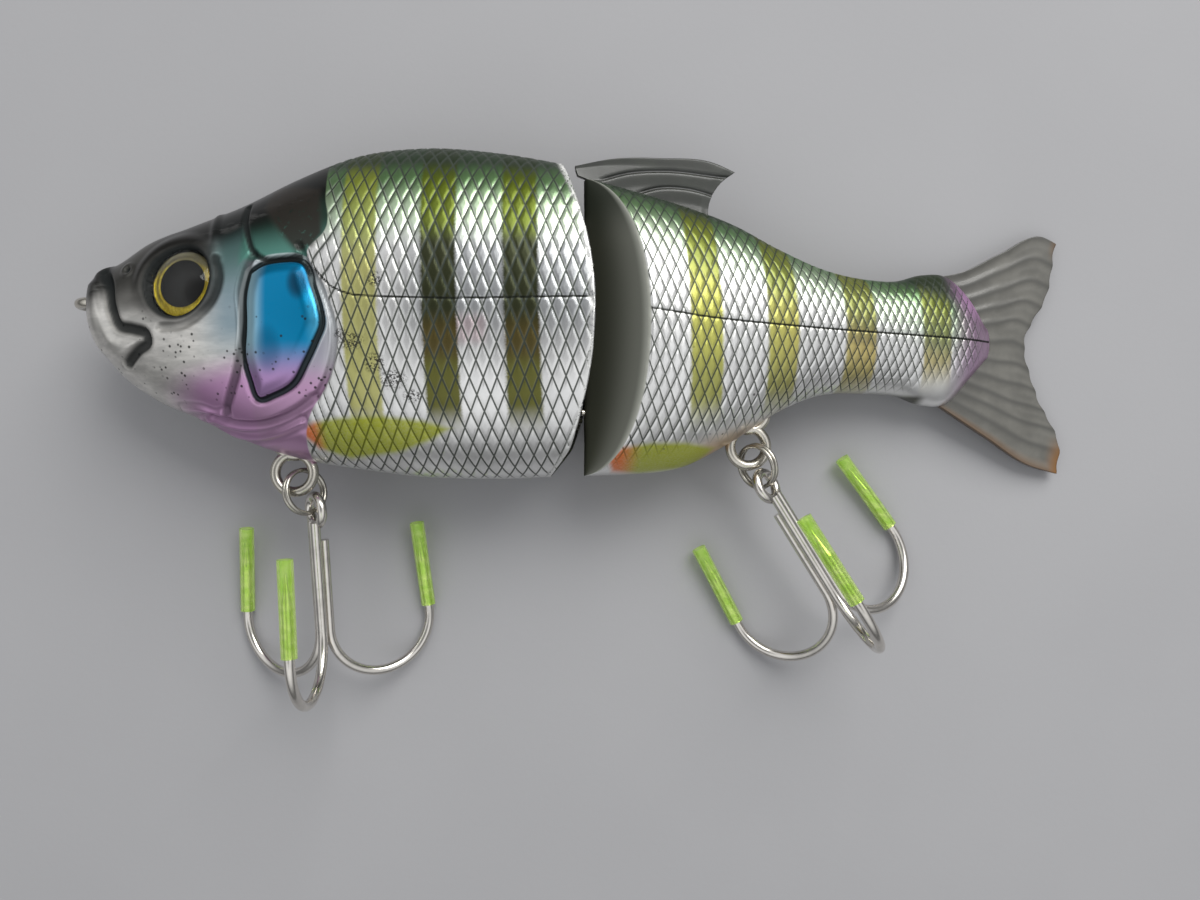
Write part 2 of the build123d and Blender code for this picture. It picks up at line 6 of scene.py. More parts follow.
import bmesh
import bpy
import numpy as np
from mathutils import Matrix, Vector


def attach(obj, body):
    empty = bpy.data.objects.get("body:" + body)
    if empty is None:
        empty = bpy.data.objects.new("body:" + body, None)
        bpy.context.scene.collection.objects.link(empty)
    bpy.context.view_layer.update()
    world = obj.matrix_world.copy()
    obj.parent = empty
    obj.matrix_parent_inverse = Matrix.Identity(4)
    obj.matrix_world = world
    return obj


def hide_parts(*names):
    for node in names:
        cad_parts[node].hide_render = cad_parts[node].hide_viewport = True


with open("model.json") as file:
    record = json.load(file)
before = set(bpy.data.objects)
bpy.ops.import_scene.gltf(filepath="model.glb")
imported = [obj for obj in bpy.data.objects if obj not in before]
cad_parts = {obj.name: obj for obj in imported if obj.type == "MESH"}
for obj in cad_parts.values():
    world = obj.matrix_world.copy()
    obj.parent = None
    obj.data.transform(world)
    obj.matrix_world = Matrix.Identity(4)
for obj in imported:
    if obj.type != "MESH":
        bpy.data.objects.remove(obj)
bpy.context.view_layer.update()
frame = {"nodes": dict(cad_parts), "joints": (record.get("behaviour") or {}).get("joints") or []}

MM = 0.001
WELD = 2e-6                 # vertices nearer than this, in metres, are one
FAR_AWAY = 1e3              # further than any place on the lure, in millimetres
TINY = 1e-9

# Body sizes in millimetres, from the joint's pin: X to the tail, Y to the back, Z out of the left flank.
HEAD_LENGTH = 76.0
TAIL_LENGTH = 70.9
BODY_DEPTH = 52.0
HALF_WIDTH = 14.0
FULLNESS = 0.575
WAIST_SHARE = 0.52
LIP_REACH = 3.9
TROUGH_DEPTH = 1.7
LIP_HALF_WIDTH = 13.0
WEDGE_TIP = 1.2
WEDGE_SHOULDER = 11.0
WEDGE_ROUNDING = 3.0
CHANNEL = 2.11

PIN = Vector(next(j for j in frame["joints"] if j["name"] == "tail_swing")["pos_m"])
REST_SWING = math.radians(8.5)

# Share of the length from the pin, back and belly as shares of the depth, share of the half width.
FRONT_STATIONS = (
    (1.005, 0.046, -0.077, 0.13),
    (0.988, 0.085, -0.138, 0.29),
    (0.947, 0.106, -0.223, 0.41),
    (0.875, 0.173, -0.304, 0.55),
    (0.788, 0.221, -0.363, 0.69),
    (0.678, 0.283, -0.437, 0.81),
    (0.559, 0.367, -0.492, 0.907),
    (0.441, 0.433, -0.521, 0.97),
    (0.309, 0.458, -0.544, 1.0),
    (0.151, 0.444, -0.550, 0.985),
    (0.020, 0.412, -0.542, 0.95),
    (-0.072, 0.385, -0.531, 0.92),
)
TAIL_STATIONS = (
    (0.007, 0.377, -0.542, 0.93),
    (0.120, 0.342, -0.538, 0.907),
    (0.254, 0.296, -0.515, 0.814),
    (0.365, 0.246, -0.440, 0.73),
    (0.478, 0.171, -0.344, 0.643),
    (0.585, 0.113, -0.288, 0.557),
    (0.698, 0.085, -0.281, 0.464),
    (0.769, 0.083, -0.287, 0.414),
    (0.839, 0.106, -0.317, 0.357),
    (0.896, 0.102, -0.313, 0.30),
    (0.952, 0.038, -0.238, 0.214),
    (1.000, -0.058, -0.169, 0.086),
)
RIM = ((-29.6, -4.3), (-21.5, 1.3), (-10.9, 3.3), (0.0, 3.9), (8.0, 3.7), (18.0, 1.5), (23.9, -3.3))

# Carving on the head, in millimetres from the pin.
EYE = (-59.4, 1.6)
MOUTH = (
    (-73.6, 4.2), (-71.6, 1.6), (-70.6, -2.1), (-69.2, -5.0), (-66.8, -5.6), (-64.6, -6.5),
    (-64.4, -7.6), (-66.3, -8.9), (-68.4, -10.6),
)
LOWER_LIP = (
    (-76.5, 3.2), (-73.4, 2.6), (-71.6, -2.0), (-69.8, -6.2), (-66.2, -7.4), (-69.4, -10.4),
    (-73.0, -10.0), (-76.5, -5.0),
)
NOSTRIL = (-68.4, 3.8)
BROW_RADIUS = 6.4
EYE_SHADE = ((-53.0, 4.6), (-52.3, 1.4), (-53.3, -1.7), (-55.6, -3.9), (-58.0, -5.2), (-61.8, -5.5))
CROWN_EDGE = ((-55.0, 12.4), (-54.2, 9.0), (-53.8, 7.0), (-52.8, 4.4))
CROWN_PLATE = (
    (-49.6, 13.4), (-49.2, 10.6), (-48.3, 8.0), (-47.0, 5.4), (-45.3, 4.3), (-42.8, 4.3), (-39.8, 4.6),
)
CHEEK_GROOVE = (
    (-47.1, 5.2), (-48.3, 2.3), (-48.8, -0.8), (-48.5, -4.0), (-48.5, -7.2), (-49.1, -10.0),
    (-50.0, -12.8), (-51.3, -15.6), (-52.7, -18.3),
)
GILL_PLATE = (
    (-47.3, 2.3), (-45.5, 3.4), (-42.8, 3.9), (-39.3, 3.5), (-37.8, 0.0), (-36.7, -3.6), (-36.5, -5.3),
    (-37.5, -7.8), (-39.2, -11.0), (-41.2, -14.0), (-44.5, -15.7), (-46.7, -16.3), (-47.6, -13.6),
    (-48.3, -10.0), (-48.0, -5.0), (-47.9, -0.8),
)
COVER_EDGE = (
    (-40.0, 6.4), (-38.4, 3.4), (-36.4, 0.0), (-34.9, -3.6), (-34.4, -6.6), (-35.0, -10.8),
    (-37.2, -15.4), (-41.0, -18.2), (-47.0, -20.0), (-51.6, -19.9), (-55.5, -18.9),
)
THROAT_FOLDS = (
    ((-60.7, -17.7), (-57.0, -17.9), (-54.4, -18.7), (-52.9, -18.5)),
    ((-56.8, -19.4), (-53.6, -20.3), (-50.7, -20.9), (-47.0, -20.9), (-43.6, -19.8), (-40.3, -18.2),
     (-38.3, -16.8)),
    ((-56.0, -20.8), (-52.5, -21.9), (-49.1, -22.1), (-44.8, -21.4), (-40.6, -19.9)),
)
SCALE_EDGE = (
    (-38.6, 26.0), (-36.6, 14.2), (-36.4, 8.0), (-38.4, 5.9), (-36.2, 0.0), (-34.2, -6.4),
    (-34.6, -10.8), (-36.8, -15.6), (-38.6, -18.0), (-41.0, -30.0),
)
FRONT_LATERAL = ((-37.4, 2.7), (-34.6, -0.2), (-32.0, -1.2), (-28.0, -1.5), (4.0, -1.4))
TAIL_LATERAL = ((2.0, -2.3), (11.3, -2.8), (18.1, -3.6), (34.8, -4.6), (52.8, -5.2), (71.0, -5.7))
SHOULDER_PATCH = (
    (-45.8, 17.0), (-37.6, 15.4), (-36.4, 8.0), (-37.8, 5.9), (-40.4, 5.2), (-43.4, 8.6), (-46.4, 12.6),
)

# Scales, in millimetres.
SCALE_WIDTH = 2.03
SCALE_HEIGHT = 5.2
LINE_SPACING = 1.0 / math.hypot(1 / SCALE_WIDTH, 1 / SCALE_HEIGHT)
GROOVE_REACH = 0.34
GROOVE_DEPTH = 0.17
SCALE_TILT = 0.05

# Pocket round the line tie: its middle height, its half height, how far back it goes, and its radius.
TIE_POCKET = (-0.8, 3.9, -76.2, 1.9)

# Painted marks, in millimetres from the pin. A bar is its middle, its half width and its strength.
FRONT_BARS = ((-30.8, 2.6, 0.85), (-19.1, 2.6, 1.0), (-7.1, 2.6, 1.0))
TAIL_BARS = ((19.2, 2.6, 0.97), (32.0, 2.6, 0.95), (45.7, 2.7, 0.92), (59.8, 2.7, 0.85))
FRONT_BACK = (20.2, 16.2, 9.0)      # heights where the back has turned black, green and pale green
TAIL_BACK = (19.2, 15.8, 11.2)
FRONT_FIN_PATCH = (
    (-41.4, -21.0), (-38.6, -19.8), (-35.2, -19.2), (-28.3, -18.9), (-22.0, -19.6), (-18.0, -20.8),
    (-21.0, -22.6), (-26.0, -24.4), (-34.0, -25.4), (-38.6, -23.8),
)
TAIL_FIN_PATCH = (
    (4.6, -25.0), (7.0, -23.6), (11.2, -22.9), (17.0, -22.8), (22.4, -23.7), (19.4, -26.9),
    (10.5, -27.9), (6.0, -27.4),
)
# Scuffs through the paint behind the gill cover: a place, and how far it reaches along and up.
SCUFFS = (
    (-28.3, 1.0, 1.6, 1.4), (-32.0, -8.0, 2.4, 1.6), (-28.6, -11.2, 2.0, 1.8), (-26.0, -13.6, 2.6, 1.8),
    (-23.2, -16.0, 1.8, 1.2), (-33.5, -7.0, 1.4, 1.0),
)

# The modelled skin: rows over the girth, and columns along the flank, round its end and over the face.
FRONT_GRID = (220, 296)
TAIL_GRID = (190, 250)
CAP_COLUMNS = 8
FACE_COLUMNS = 16
SKIN_SPACING = 0.27
FIN_RAYS = 11
CAP_BULGE = 0.7
QUARTER_RISE, QUARTER_SPREAD = 25.0, 13.0       # the quarter section that the rows are spaced on


# ---------------------------------------------------------------- numbers

def ease(value, low, high):
    """0 below low, 1 above high, smooth between."""
    t = np.clip((value - low) / (high - low), 0.0, 1.0)
    return t * t * (3 - 2 * t)


def through(knots, at):
    """Smooth curve through knots (place, value, ...), read at the given places."""
    table = np.array(sorted(knots), float)
    places = table[:, 0]
    at = np.clip(at, places[0], places[-1])
    left = np.clip(np.searchsorted(places, at, side="right") - 1, 0, len(places) - 2)
    span = places[left + 1] - places[left]
    t = (at - places[left]) / span
    found = []
    for column in table.T[1:]:
        slope = np.gradient(column, places)
        found.append(
            (2 * t**3 - 3 * t**2 + 1) * column[left]
            + (t**3 - 2 * t**2 + t) * span * slope[left]
            + (3 * t**2 - 2 * t**3) * column[left + 1]
            + (t**3 - t**2) * span * slope[left + 1]
        )
    return found


def run_after(steps):
    """Distance run before and after each of a row of steps."""
    return np.concatenate(([0], np.cumsum(steps)))


def rounded(points, steps=6):
    """A smooth line through a carving's points."""
    points = np.array(points, float)
    run = run_after(np.linalg.norm(np.diff(points, axis=0), axis=1))
    at = np.linspace(0, run[-1], steps * (len(points) - 1) + 1)
    return np.stack(through([(r, *p) for r, p in zip(run, points)], at), axis=1)


def closed_line(points):
    """A smooth line that ends where it starts."""
    return rounded(points + points[:1])


def distance_to(line, x, y):
    """Distance from every place (x, y) to a line of points."""
    nearest = np.full(x.shape, FAR_AWAY)
    for (ax, ay), (bx, by) in zip(line, line[1:]):
        dx, dy = bx - ax, by - ay
        t = np.clip(((x - ax) * dx + (y - ay) * dy) / max(dx * dx + dy * dy, TINY), 0, 1)
        nearest = np.minimum(nearest, np.hypot(x - ax - t * dx, y - ay - t * dy))
    return nearest


def depth_inside(outline, x, y):
    """Distance from the outline for places inside it, negative outside."""
    inside = np.zeros(x.shape, bool)
    closed = np.vstack((outline, outline[:1]))
    for (ax, ay), (bx, by) in zip(closed, closed[1:]):
        if ay == by:
            continue
        crosses = ((ay > y) != (by > y)) & (x < (bx - ax) * (y - ay) / (by - ay) + ax)
        inside ^= crosses
    return distance_to(closed, x, y) * np.where(inside, 1.0, -1.0)


def fold(value):
    """Distance from the nearest whole number."""
    return np.abs(value - np.round(value))


# ---------------------------------------------------------------- meshes

def make_mesh(name, points, faces):
    """A smooth mesh object from points in metres."""
    data = bpy.data.meshes.new(name)
    data.from_pydata([tuple(p) for p in points], [], [tuple(f) for f in faces])
    data.validate()
    data.polygons.foreach_set("use_smooth", [True] * len(data.polygons))
    piece = bpy.data.objects.new(name, data)
    bpy.context.scene.collection.objects.link(piece)
    return piece


def store(piece, name, values):
    """Keeps three numbers at each vertex of a piece."""
    made = piece.data.attributes.new(name, "FLOAT_VECTOR", "POINT")
    made.data.foreach_set("vector", np.asarray(values, np.float32).ravel())


def tidy(piece):
    """Welds doubled vertices, removes faces of no area and turns the faces outward."""
    work = bmesh.new()
    work.from_mesh(piece.data)
    bmesh.ops.remove_doubles(work, verts=work.verts, dist=WELD)
    bmesh.ops.dissolve_degenerate(work, edges=work.edges, dist=WELD)
    bmesh.ops.recalc_face_normals(work, faces=work.faces)
    work.to_mesh(piece.data)
    work.free()


def placed(points, tail=False):
    """Points in millimetres from the pin, put where the lure lies, in metres."""
    points = np.asarray(points, float)
    if tail:
        c, s = math.cos(REST_SWING), math.sin(REST_SWING)
        x, y, z = points.T
        points = np.stack((x * c + z * s, y, z * c - x * s), axis=1)
    return points * MM + np.array(PIN)


def grid_faces(rows, columns, start=0, flip=False):
    """Four-sided faces of a grid whose vertices run row by row from start."""
    index = start + np.arange(rows * columns).reshape(rows, columns)
    a, b, c, d = index[:-1, :-1], index[:-1, 1:], index[1:, 1:], index[1:, :-1]
    order = (d, c, b, a) if flip else (a, b, c, d)
    return [tuple(f) for f in np.stack([q.ravel() for q in order], axis=1).tolist()]


# ---------------------------------------------------------------- body skin

def quarter(share):
    """Rise and spread of a quarter section at a share of its girth."""
    t = np.linspace(0, 1, 400)
    rise = 3 * FULLNESS * t * (1 - t) ** 2 + 3 * t * t * (1 - t) + t**3
    spread = (1 - t) ** 3 + 3 * t * (1 - t) ** 2 + 3 * FULLNESS * t * t * (1 - t)
    step = np.hypot(np.diff(rise) * QUARTER_RISE, np.diff(spread) * QUARTER_SPREAD)
    run = run_after(step)
    at = share * run[-1]
    return np.interp(at, run, rise), np.interp(at, run, spread)


def section_lines(stations, reach):
    """Knots of a section's back, belly and half width; the reach is negative towards the snout."""
    return [
        (share * reach, back * BODY_DEPTH, belly * BODY_DEPTH, half * HALF_WIDTH)
        for share, back, belly, half in stations
    ]


FRONT_LINES = section_lines(FRONT_STATIONS, -HEAD_LENGTH)
TAIL_LINES = section_lines(TAIL_STATIONS, TAIL_LENGTH)


def skin_at(lines, x, share):
    """Y and Z of the skin at x, for shares from -1 at the belly to 1 at the back."""
    back, belly, half = through(lines, x)
    waist = belly + WAIST_SHARE * (back - belly)
    rise, spread = quarter(np.abs(share))
    return waist + np.where(share > 0, back - waist, belly - waist) * rise, half * spread


def front_face(y, z):
    """X of the front section's hollow rear face."""
    rise = LIP_REACH + TROUGH_DEPTH
    radius = (rise**2 + LIP_HALF_WIDTH**2) / (2 * rise)
    trough = radius - TROUGH_DEPTH - np.sqrt(radius**2 - np.minimum(z, radius * 0.99) ** 2)
    channel = np.where(z < CHANNEL, -np.sqrt(np.maximum(CHANNEL**2 - z**2, 0)), FAR_AWAY)
    return np.minimum(np.minimum(through(RIM, y)[0], trough), channel)


def tail_face(y, z):
    """X of the tail section's wedge-shaped front."""
    slope = LIP_HALF_WIDTH / (WEDGE_SHOULDER - WEDGE_TIP)
    angle = math.atan(slope)
    centre = WEDGE_TIP + WEDGE_ROUNDING / math.sin(angle)
    nose = centre - np.sqrt(np.maximum(WEDGE_ROUNDING**2 - z**2, 0))
    flank = WEDGE_TIP + z / slope
    wedge = np.where(z < WEDGE_ROUNDING * math.cos(angle), nose, flank)
    channel = np.where(z < CHANNEL, np.sqrt(np.maximum(CHANNEL**2 - z**2, 0)), -FAR_AWAY)
    return np.maximum(wedge, channel)


def skin_grid(lines, face, rows, columns):
    """Half a section as a grid: a rounded far end, the flank, and the face at the joint.

    It also gives each column's station: 0 to 1 along the flank, and 2 upwards across the joint's face.
    """
    share = np.linspace(-1, 1, rows)[:, None]
    far = max((knot[0] for knot in lines), key=abs)
    edge = np.zeros((rows, 1))
    for _ in range(40):     # settles on the line where the flank meets the joint's face
        y, z = skin_at(lines, edge, share)
        edge = 0.5 * edge + 0.5 * face(y, z)
    along = np.linspace(0, 1, columns)[None, :] * np.ones((rows, 1))
    x = far + (edge - far) * along
    y, z = skin_at(lines, x, share)
    middle = y[:, :1].mean()
    radius = np.sin(np.linspace(0, math.pi / 2, CAP_COLUMNS + 1)[:-1])[None, :]
    cap_x = far + math.copysign(CAP_BULGE, far) * np.sqrt(1 - radius**2) * np.ones((rows, 1))
    cap_y = middle + (y[:, :1] - middle) * radius
    cap_z = z[:, :1] * radius
    inward = np.linspace(1, 0, FACE_COLUMNS + 1)[1:][None, :]
    face_z = z[:, -1:] * inward
    face_y = y[:, -1:] * np.ones_like(inward)
    face_x = face(face_y, face_z)
    station = np.concatenate((np.zeros(CAP_COLUMNS), along[0], 1 + np.arange(1, FACE_COLUMNS + 1)))
    grids = [np.hstack(g) for g in ((cap_x, x, face_x), (cap_y, y, face_y), (cap_z, z, face_z))]
    return grids, np.broadcast_to(station, grids[0].shape)


def normals_of(x, y, z):
    """Outward directions of a skin's grid."""
    points = np.stack((x, y, z), axis=-1)
    across = np.cross(np.gradient(points, axis=1), np.gradient(points, axis=0))
    across /= np.maximum(np.linalg.norm(across, axis=-1, keepdims=True), TINY)
    return across * np.sign((across[..., 2:] * np.maximum(z, 0.1)[..., None]).sum())


def girth_from(line, x, y, z):
    """Distance along the girth from the lateral line, upwards."""
    step = np.hypot(np.diff(y, axis=0), np.diff(z, axis=0))
    run = np.vstack((np.zeros((1, x.shape[1])), np.cumsum(step, axis=0)))
    at = through(line, x[len(x) // 2])[0]
    start = np.array([np.interp(a, y[:, i], run[:, i]) for i, a in enumerate(at)])
    return run - start[None, :]


def scale_shrink(x, tail):
    """Width and height of a scale at x, as shares of the usual size."""
    if tail:
        far = ease(x, 15.0, 55.0)
        return 0.92 - 0.16 * far, 0.82 - 0.20 * far
    near_head = 1 - 0.06 * ease(-x, 25.0, 40.0)
    return near_head, near_head


def scale_net(x, girth, tail):
    """Two families of slanting lines, numbered so that each falls on whole numbers."""
    middle = np.sort(x[len(x) // 2])
    width = SCALE_WIDTH * scale_shrink(middle[1:], tail)[0]
    count = run_after(np.diff(middle) / width)
    count -= np.interp(0.0, middle, count)
    u = np.interp(x, middle, count)
    v = girth / (SCALE_HEIGHT * scale_shrink(x, tail)[1])
    return u + v + 0.5, u - v


def carve_net(first, second, mask):
    """Height of the scales: V grooves along the net, and each scale slightly tilted."""
    near = np.minimum(fold(first), fold(second)) * LINE_SPACING
    groove = 1 - ease(near, 0.0, GROOVE_REACH)
    tilt = (first - np.floor(first)) * (1 - (second - np.floor(second)))
    return mask * (SCALE_TILT * tilt - GROOVE_DEPTH * groove)


def band(distance, full, gone):
    """1 nearer to a line than full, 0 further off than gone."""
    return 1 - ease(distance, full, gone)


def head_relief(x, y, plate):
    """Carved height of the head, and the painted shade in its hollows; plate is the depth inside the gill
    plate.
    """
    grooves = (     # line, depth, reach and darkness
        (MOUTH, 0.8, 1.25, 1.0),
        (EYE_SHADE, 0.4, 0.95, 0.9 * (0.4 + 0.6 * ease(y, -5.5, -1.5))),
        (CROWN_PLATE, 0.4, 0.65, 1.0),
        (CHEEK_GROOVE, 0.5, 0.9, 0.8),
        (COVER_EDGE, 0.5, 0.75, 0.5),
    )
    height = np.zeros_like(x)
    shade = np.zeros_like(x)
    for line, depth, reach, dark in grooves:
        distance = distance_to(rounded(line), x, y)
        height -= depth * band(distance, 0.15 * reach, reach)
        # painted shade along each groove, as strong as its darkness
        shade = np.maximum(shade, dark * band(distance, 0.45 * reach, 1.15 * reach))
    for line in THROAT_FOLDS:
        distance = distance_to(rounded(line), x, y)
        beside = np.abs(distance - 0.9)
        height += 0.22 * band(distance, 0.0, 0.55) - 0.2 * band(beside, 0.0, 0.6)
        # painted shade in the hollow beside each throat fold
        shade = np.maximum(shade, 0.35 * band(beside, 0.0, 0.5))
    nostril = np.hypot(x - NOSTRIL[0], y - NOSTRIL[1])
    # painted shade in the nostril's pit
    shade = np.maximum(shade, band(nostril, 0.3, 0.7))
    height += 0.15 * band(np.abs(nostril - 0.9), 0.0, 0.5) - 0.4 * band(nostril, 0.15, 0.7)
    height += 0.55 * ease(plate, 0.0, 2.2) - 0.5 * band(np.abs(plate + 0.3), 0.1, 0.8)
    height += 0.25 * band(distance_to(rounded(CROWN_EDGE), x, y), 0.0, 1.1)
    height += 0.45 * ease(depth_inside(closed_line(LOWER_LIP), x, y), 0.0, 1.6)
    from_brow = np.abs(np.hypot(x - EYE[0], (y - EYE[1]) * 0.95) - BROW_RADIUS)
    height += 0.28 * band(from_brow, 0.0, 1.5) * ease(y, -1.0, 3.0)
    return height, shade


def eye_dome(side):
    """Centre, outward direction, height of the rim and radius of the frame's eye dome."""
    dome = frame["nodes"]["eye_lens_left" if side > 0 else "eye_lens_right"]
    points = (np.array([v.co for v in dome.data.vertices]) - np.array(PIN)) / MM
    centre = points.mean(0)
    offset = points - centre
    thin = np.linalg.svd(offset, full_matrices=False)[2][2]
    out = thin * np.sign(thin[2] * side)
    return centre, out, (offset @ out).min(), np.linalg.norm(np.cross(offset, out), axis=1).max()


def sink_eye(x, y, z):
    """Presses the eye's socket into the skin of the left flank, with a dark rim round it."""
    centre, out, rim, radius = eye_dome(1)
    socket = radius + 0.12
    floor = rim - 0.95
    offset = np.stack((x, y, z), axis=-1) - centre
    depth = offset @ out
    flat = offset - depth[..., None] * out
    far = np.linalg.norm(flat, axis=-1)
    near = (far < socket + 3) & (z > 0)
    on_wall = near & (np.abs(far - socket) < 0.5 * SKIN_SPACING)
    flat *= np.where(on_wall, (socket + 0.01) / np.maximum(far, TINY), 1.0)[..., None]
    inside = near & (far < socket - 0.5 * SKIN_SPACING)
    lip = ease(far, socket + 0.9, socket - 0.1)
    depth = np.where(inside, floor, depth - np.where(near, 0.35 * lip, 0))
    moved = centre + flat + depth[..., None] * out
    shade = np.where(near, ease(far, socket + 1.0, socket + 0.25), 0)
    return moved[..., 0], moved[..., 1], moved[..., 2], shade


def clear_tie(x, y, z):
    """Hollows the nose round the line tie, and says where."""
    height, half, depth, radius = TIE_POCKET
    pocket = (np.abs(y - height) < half) & (x < depth + radius) & (z < radius)
    wall = depth + np.sqrt(np.maximum(radius**2 - z**2, 0))
    return np.where(pocket, np.maximum(x, wall), x), pocket


def shell_faces(rows, total, rim):
    """Faces of a closed half: the grid, and the flat inner side up to the rim and behind the face."""
    faces = grid_faces(rows, total)
    index = np.arange(rows * total).reshape(rows, total)
    for i in range(rim):
        faces.append((index[0, i], index[0, i + 1], index[-1, i + 1], index[-1, i]))
    faces.append((index[0, rim], *index[:, -1].tolist(), index[-1, rim]))
    return faces


def body_half(name, side, tail):
    """One shell's outer skin, its joint face and its flat inner side, closed."""
    if tail:
        lines, face, lateral, (rows, columns) = TAIL_LINES, tail_face, TAIL_LATERAL, TAIL_GRID
    else:
        lines, face, lateral, (rows, columns) = FRONT_LINES, front_face, FRONT_LATERAL, FRONT_GRID
    (x, y, z), station = skin_grid(lines, face, rows, columns)
    smooth = np.stack((x, y, z), axis=-1)
    on_flank = station <= 1
    if tail:
        plate = over = np.full(x.shape, FAR_AWAY)
        mask = ease(y, -29.0 + 0.25 * x, -25.0 + 0.25 * x) * (1 - 0.6 * ease(x, 66, 70))
    else:
        plate = depth_inside(closed_line(GILL_PLATE), x, y)
        over = x - through([(b, a) for a, b in SCALE_EDGE], y)[0]
        mask = ease(over, -0.1, 0.4)
    mask = mask * on_flank * ease(z, 0.6, 3.0)
    first, second = scale_net(x, girth_from(lateral, x, y, z), tail)
    line = distance_to(rounded(lateral), x, y)
    height = carve_net(first, second, mask) - 0.12 * band(line, 0.0, 0.3) * on_flank * ease(z, 2, 4)
    shade = np.zeros_like(x)
    if not tail:
        relief, hollows = head_relief(x, y, plate)
        on_head = (1 - mask) * on_flank * ease(z, 0.0, 1.5) * ease(-x, 33.0, 34.0)
        height += relief * on_head
        # painted shade in the head's hollows
        shade = hollows * on_head
    height *= on_flank * (1 - 0.7 * ease(station, 0.996, 1.0))
    x, y, z = np.moveaxis(smooth + height[..., None] * normals_of(x, y, z), -1, 0)
    z = np.maximum(z, 0)
    z[0], z[-1] = 0, 0
    if not tail:
        x, y, z, rim = sink_eye(x, y, z)
        x, pocket = clear_tie(x, y, z)
        # painted shade in the pocket round the line tie, joined with the dark rim round the eye
        shade = np.maximum(shade, np.maximum(rim, 0.6 * pocket))
    points = np.stack((x, y, z * side), axis=-1).reshape(-1, 3)
    piece = make_mesh(name, placed(points, tail), shell_faces(rows, x.shape[1], CAP_COLUMNS + columns - 1))
    store(piece, "lure", smooth * (1, 1, side))
    store(piece, "net", np.stack((first, second, mask), axis=-1))
    reach = np.maximum(station - 1, 0) / FACE_COLUMNS
    store(piece, "relief", np.stack((shade, reach, ease(station, 0.985, 0.998)), axis=-1))
    store(piece, "marks", np.stack((line, plate, over), axis=-1))
    tidy(piece)
    return piece


# ---------------------------------------------------------------- finishes

class Value:
    """A number in a finish: sums on it add maths nodes."""

    def __init__(self, finish, socket):
        self.finish, self.socket = finish, socket

    def maths(self, operation, other=None, turned=False):
        """A maths node on this number and another, which comes first if turned."""
        pair = (other, self) if turned else (self, other)
        sockets = {place: value for place, value in enumerate(pair) if value is not None}
        made = self.finish.node("ShaderNodeMath", {"operation": operation}, sockets)
        return Value(self.finish, made.outputs[0])

    def __add__(self, other):
        return self.maths("ADD", other)

    __radd__ = __add__

    def __sub__(self, other):
        return self.maths("SUBTRACT", other)

    def __rsub__(self, other):
        return self.maths("SUBTRACT", other, turned=True)

    def __mul__(self, other):
        return self.maths("MULTIPLY", other)

    __rmul__ = __mul__

    def __abs__(self):
        return self.maths("ABSOLUTE")

    def least(self, other):
        """The lower of the two."""
        return self.maths("MINIMUM", other)

    def most(self, other):
        """The higher of the two."""
        return self.maths("MAXIMUM", other)

    def fold(self):
        """Distance from the nearest whole number."""
        return abs(self - self.maths("ROUND"))

    def ease(self, low, high):
        """0 below low, 1 above high, smooth between; low may be the higher number."""
        if low > high:
            return 1 - self.ease(high, low)
        found = self.finish.node("ShaderNodeMapRange", {"interpolation_type": "SMOOTHSTEP"},
                                 {"Value": self, "From Min": low, "From Max": high})
        return Value(self.finish, found.outputs["Result"])


class Nodes:
    """A tree of nodes, made one at a time."""

    def __init__(self, tree):
        self.tree = tree

    def feed(self, socket, value):
        """Links a number, a socket or a plain value to a socket."""
        if isinstance(value, Value):
            value = value.socket
        if isinstance(value, bpy.types.NodeSocket):
            self.tree.links.new(value, socket)
        elif isinstance(value, (tuple, list)) and len(value) == 3 and len(socket.default_value) == 4:
            socket.default_value = (*value, 1.0)
        else:
            socket.default_value = value

    def node(self, kind, settings=None, sockets=None):
        """A new node with its settings, and what its sockets are fed with."""
        made = self.tree.nodes.new(kind)
        for name, value in (settings or {}).items():
            setattr(made, name, value)
        for name, value in (sockets or {}).items():
            self.feed(made.inputs[name], value)
        return made

    def mix(self, share, first, second):
        """A colour that goes from the first to the second as the share goes from 0 to 1."""
        made = self.node("ShaderNodeMix", {"data_type": "RGBA"}, {0: share, 6: first, 7: second})
        return made.outputs[2]


    def coated(self, colour, *coats):
        """A colour under coats of paint, each a share and a tone."""
        for share, tone in coats:
            colour = self.mix(share, colour, tone)
        return colour


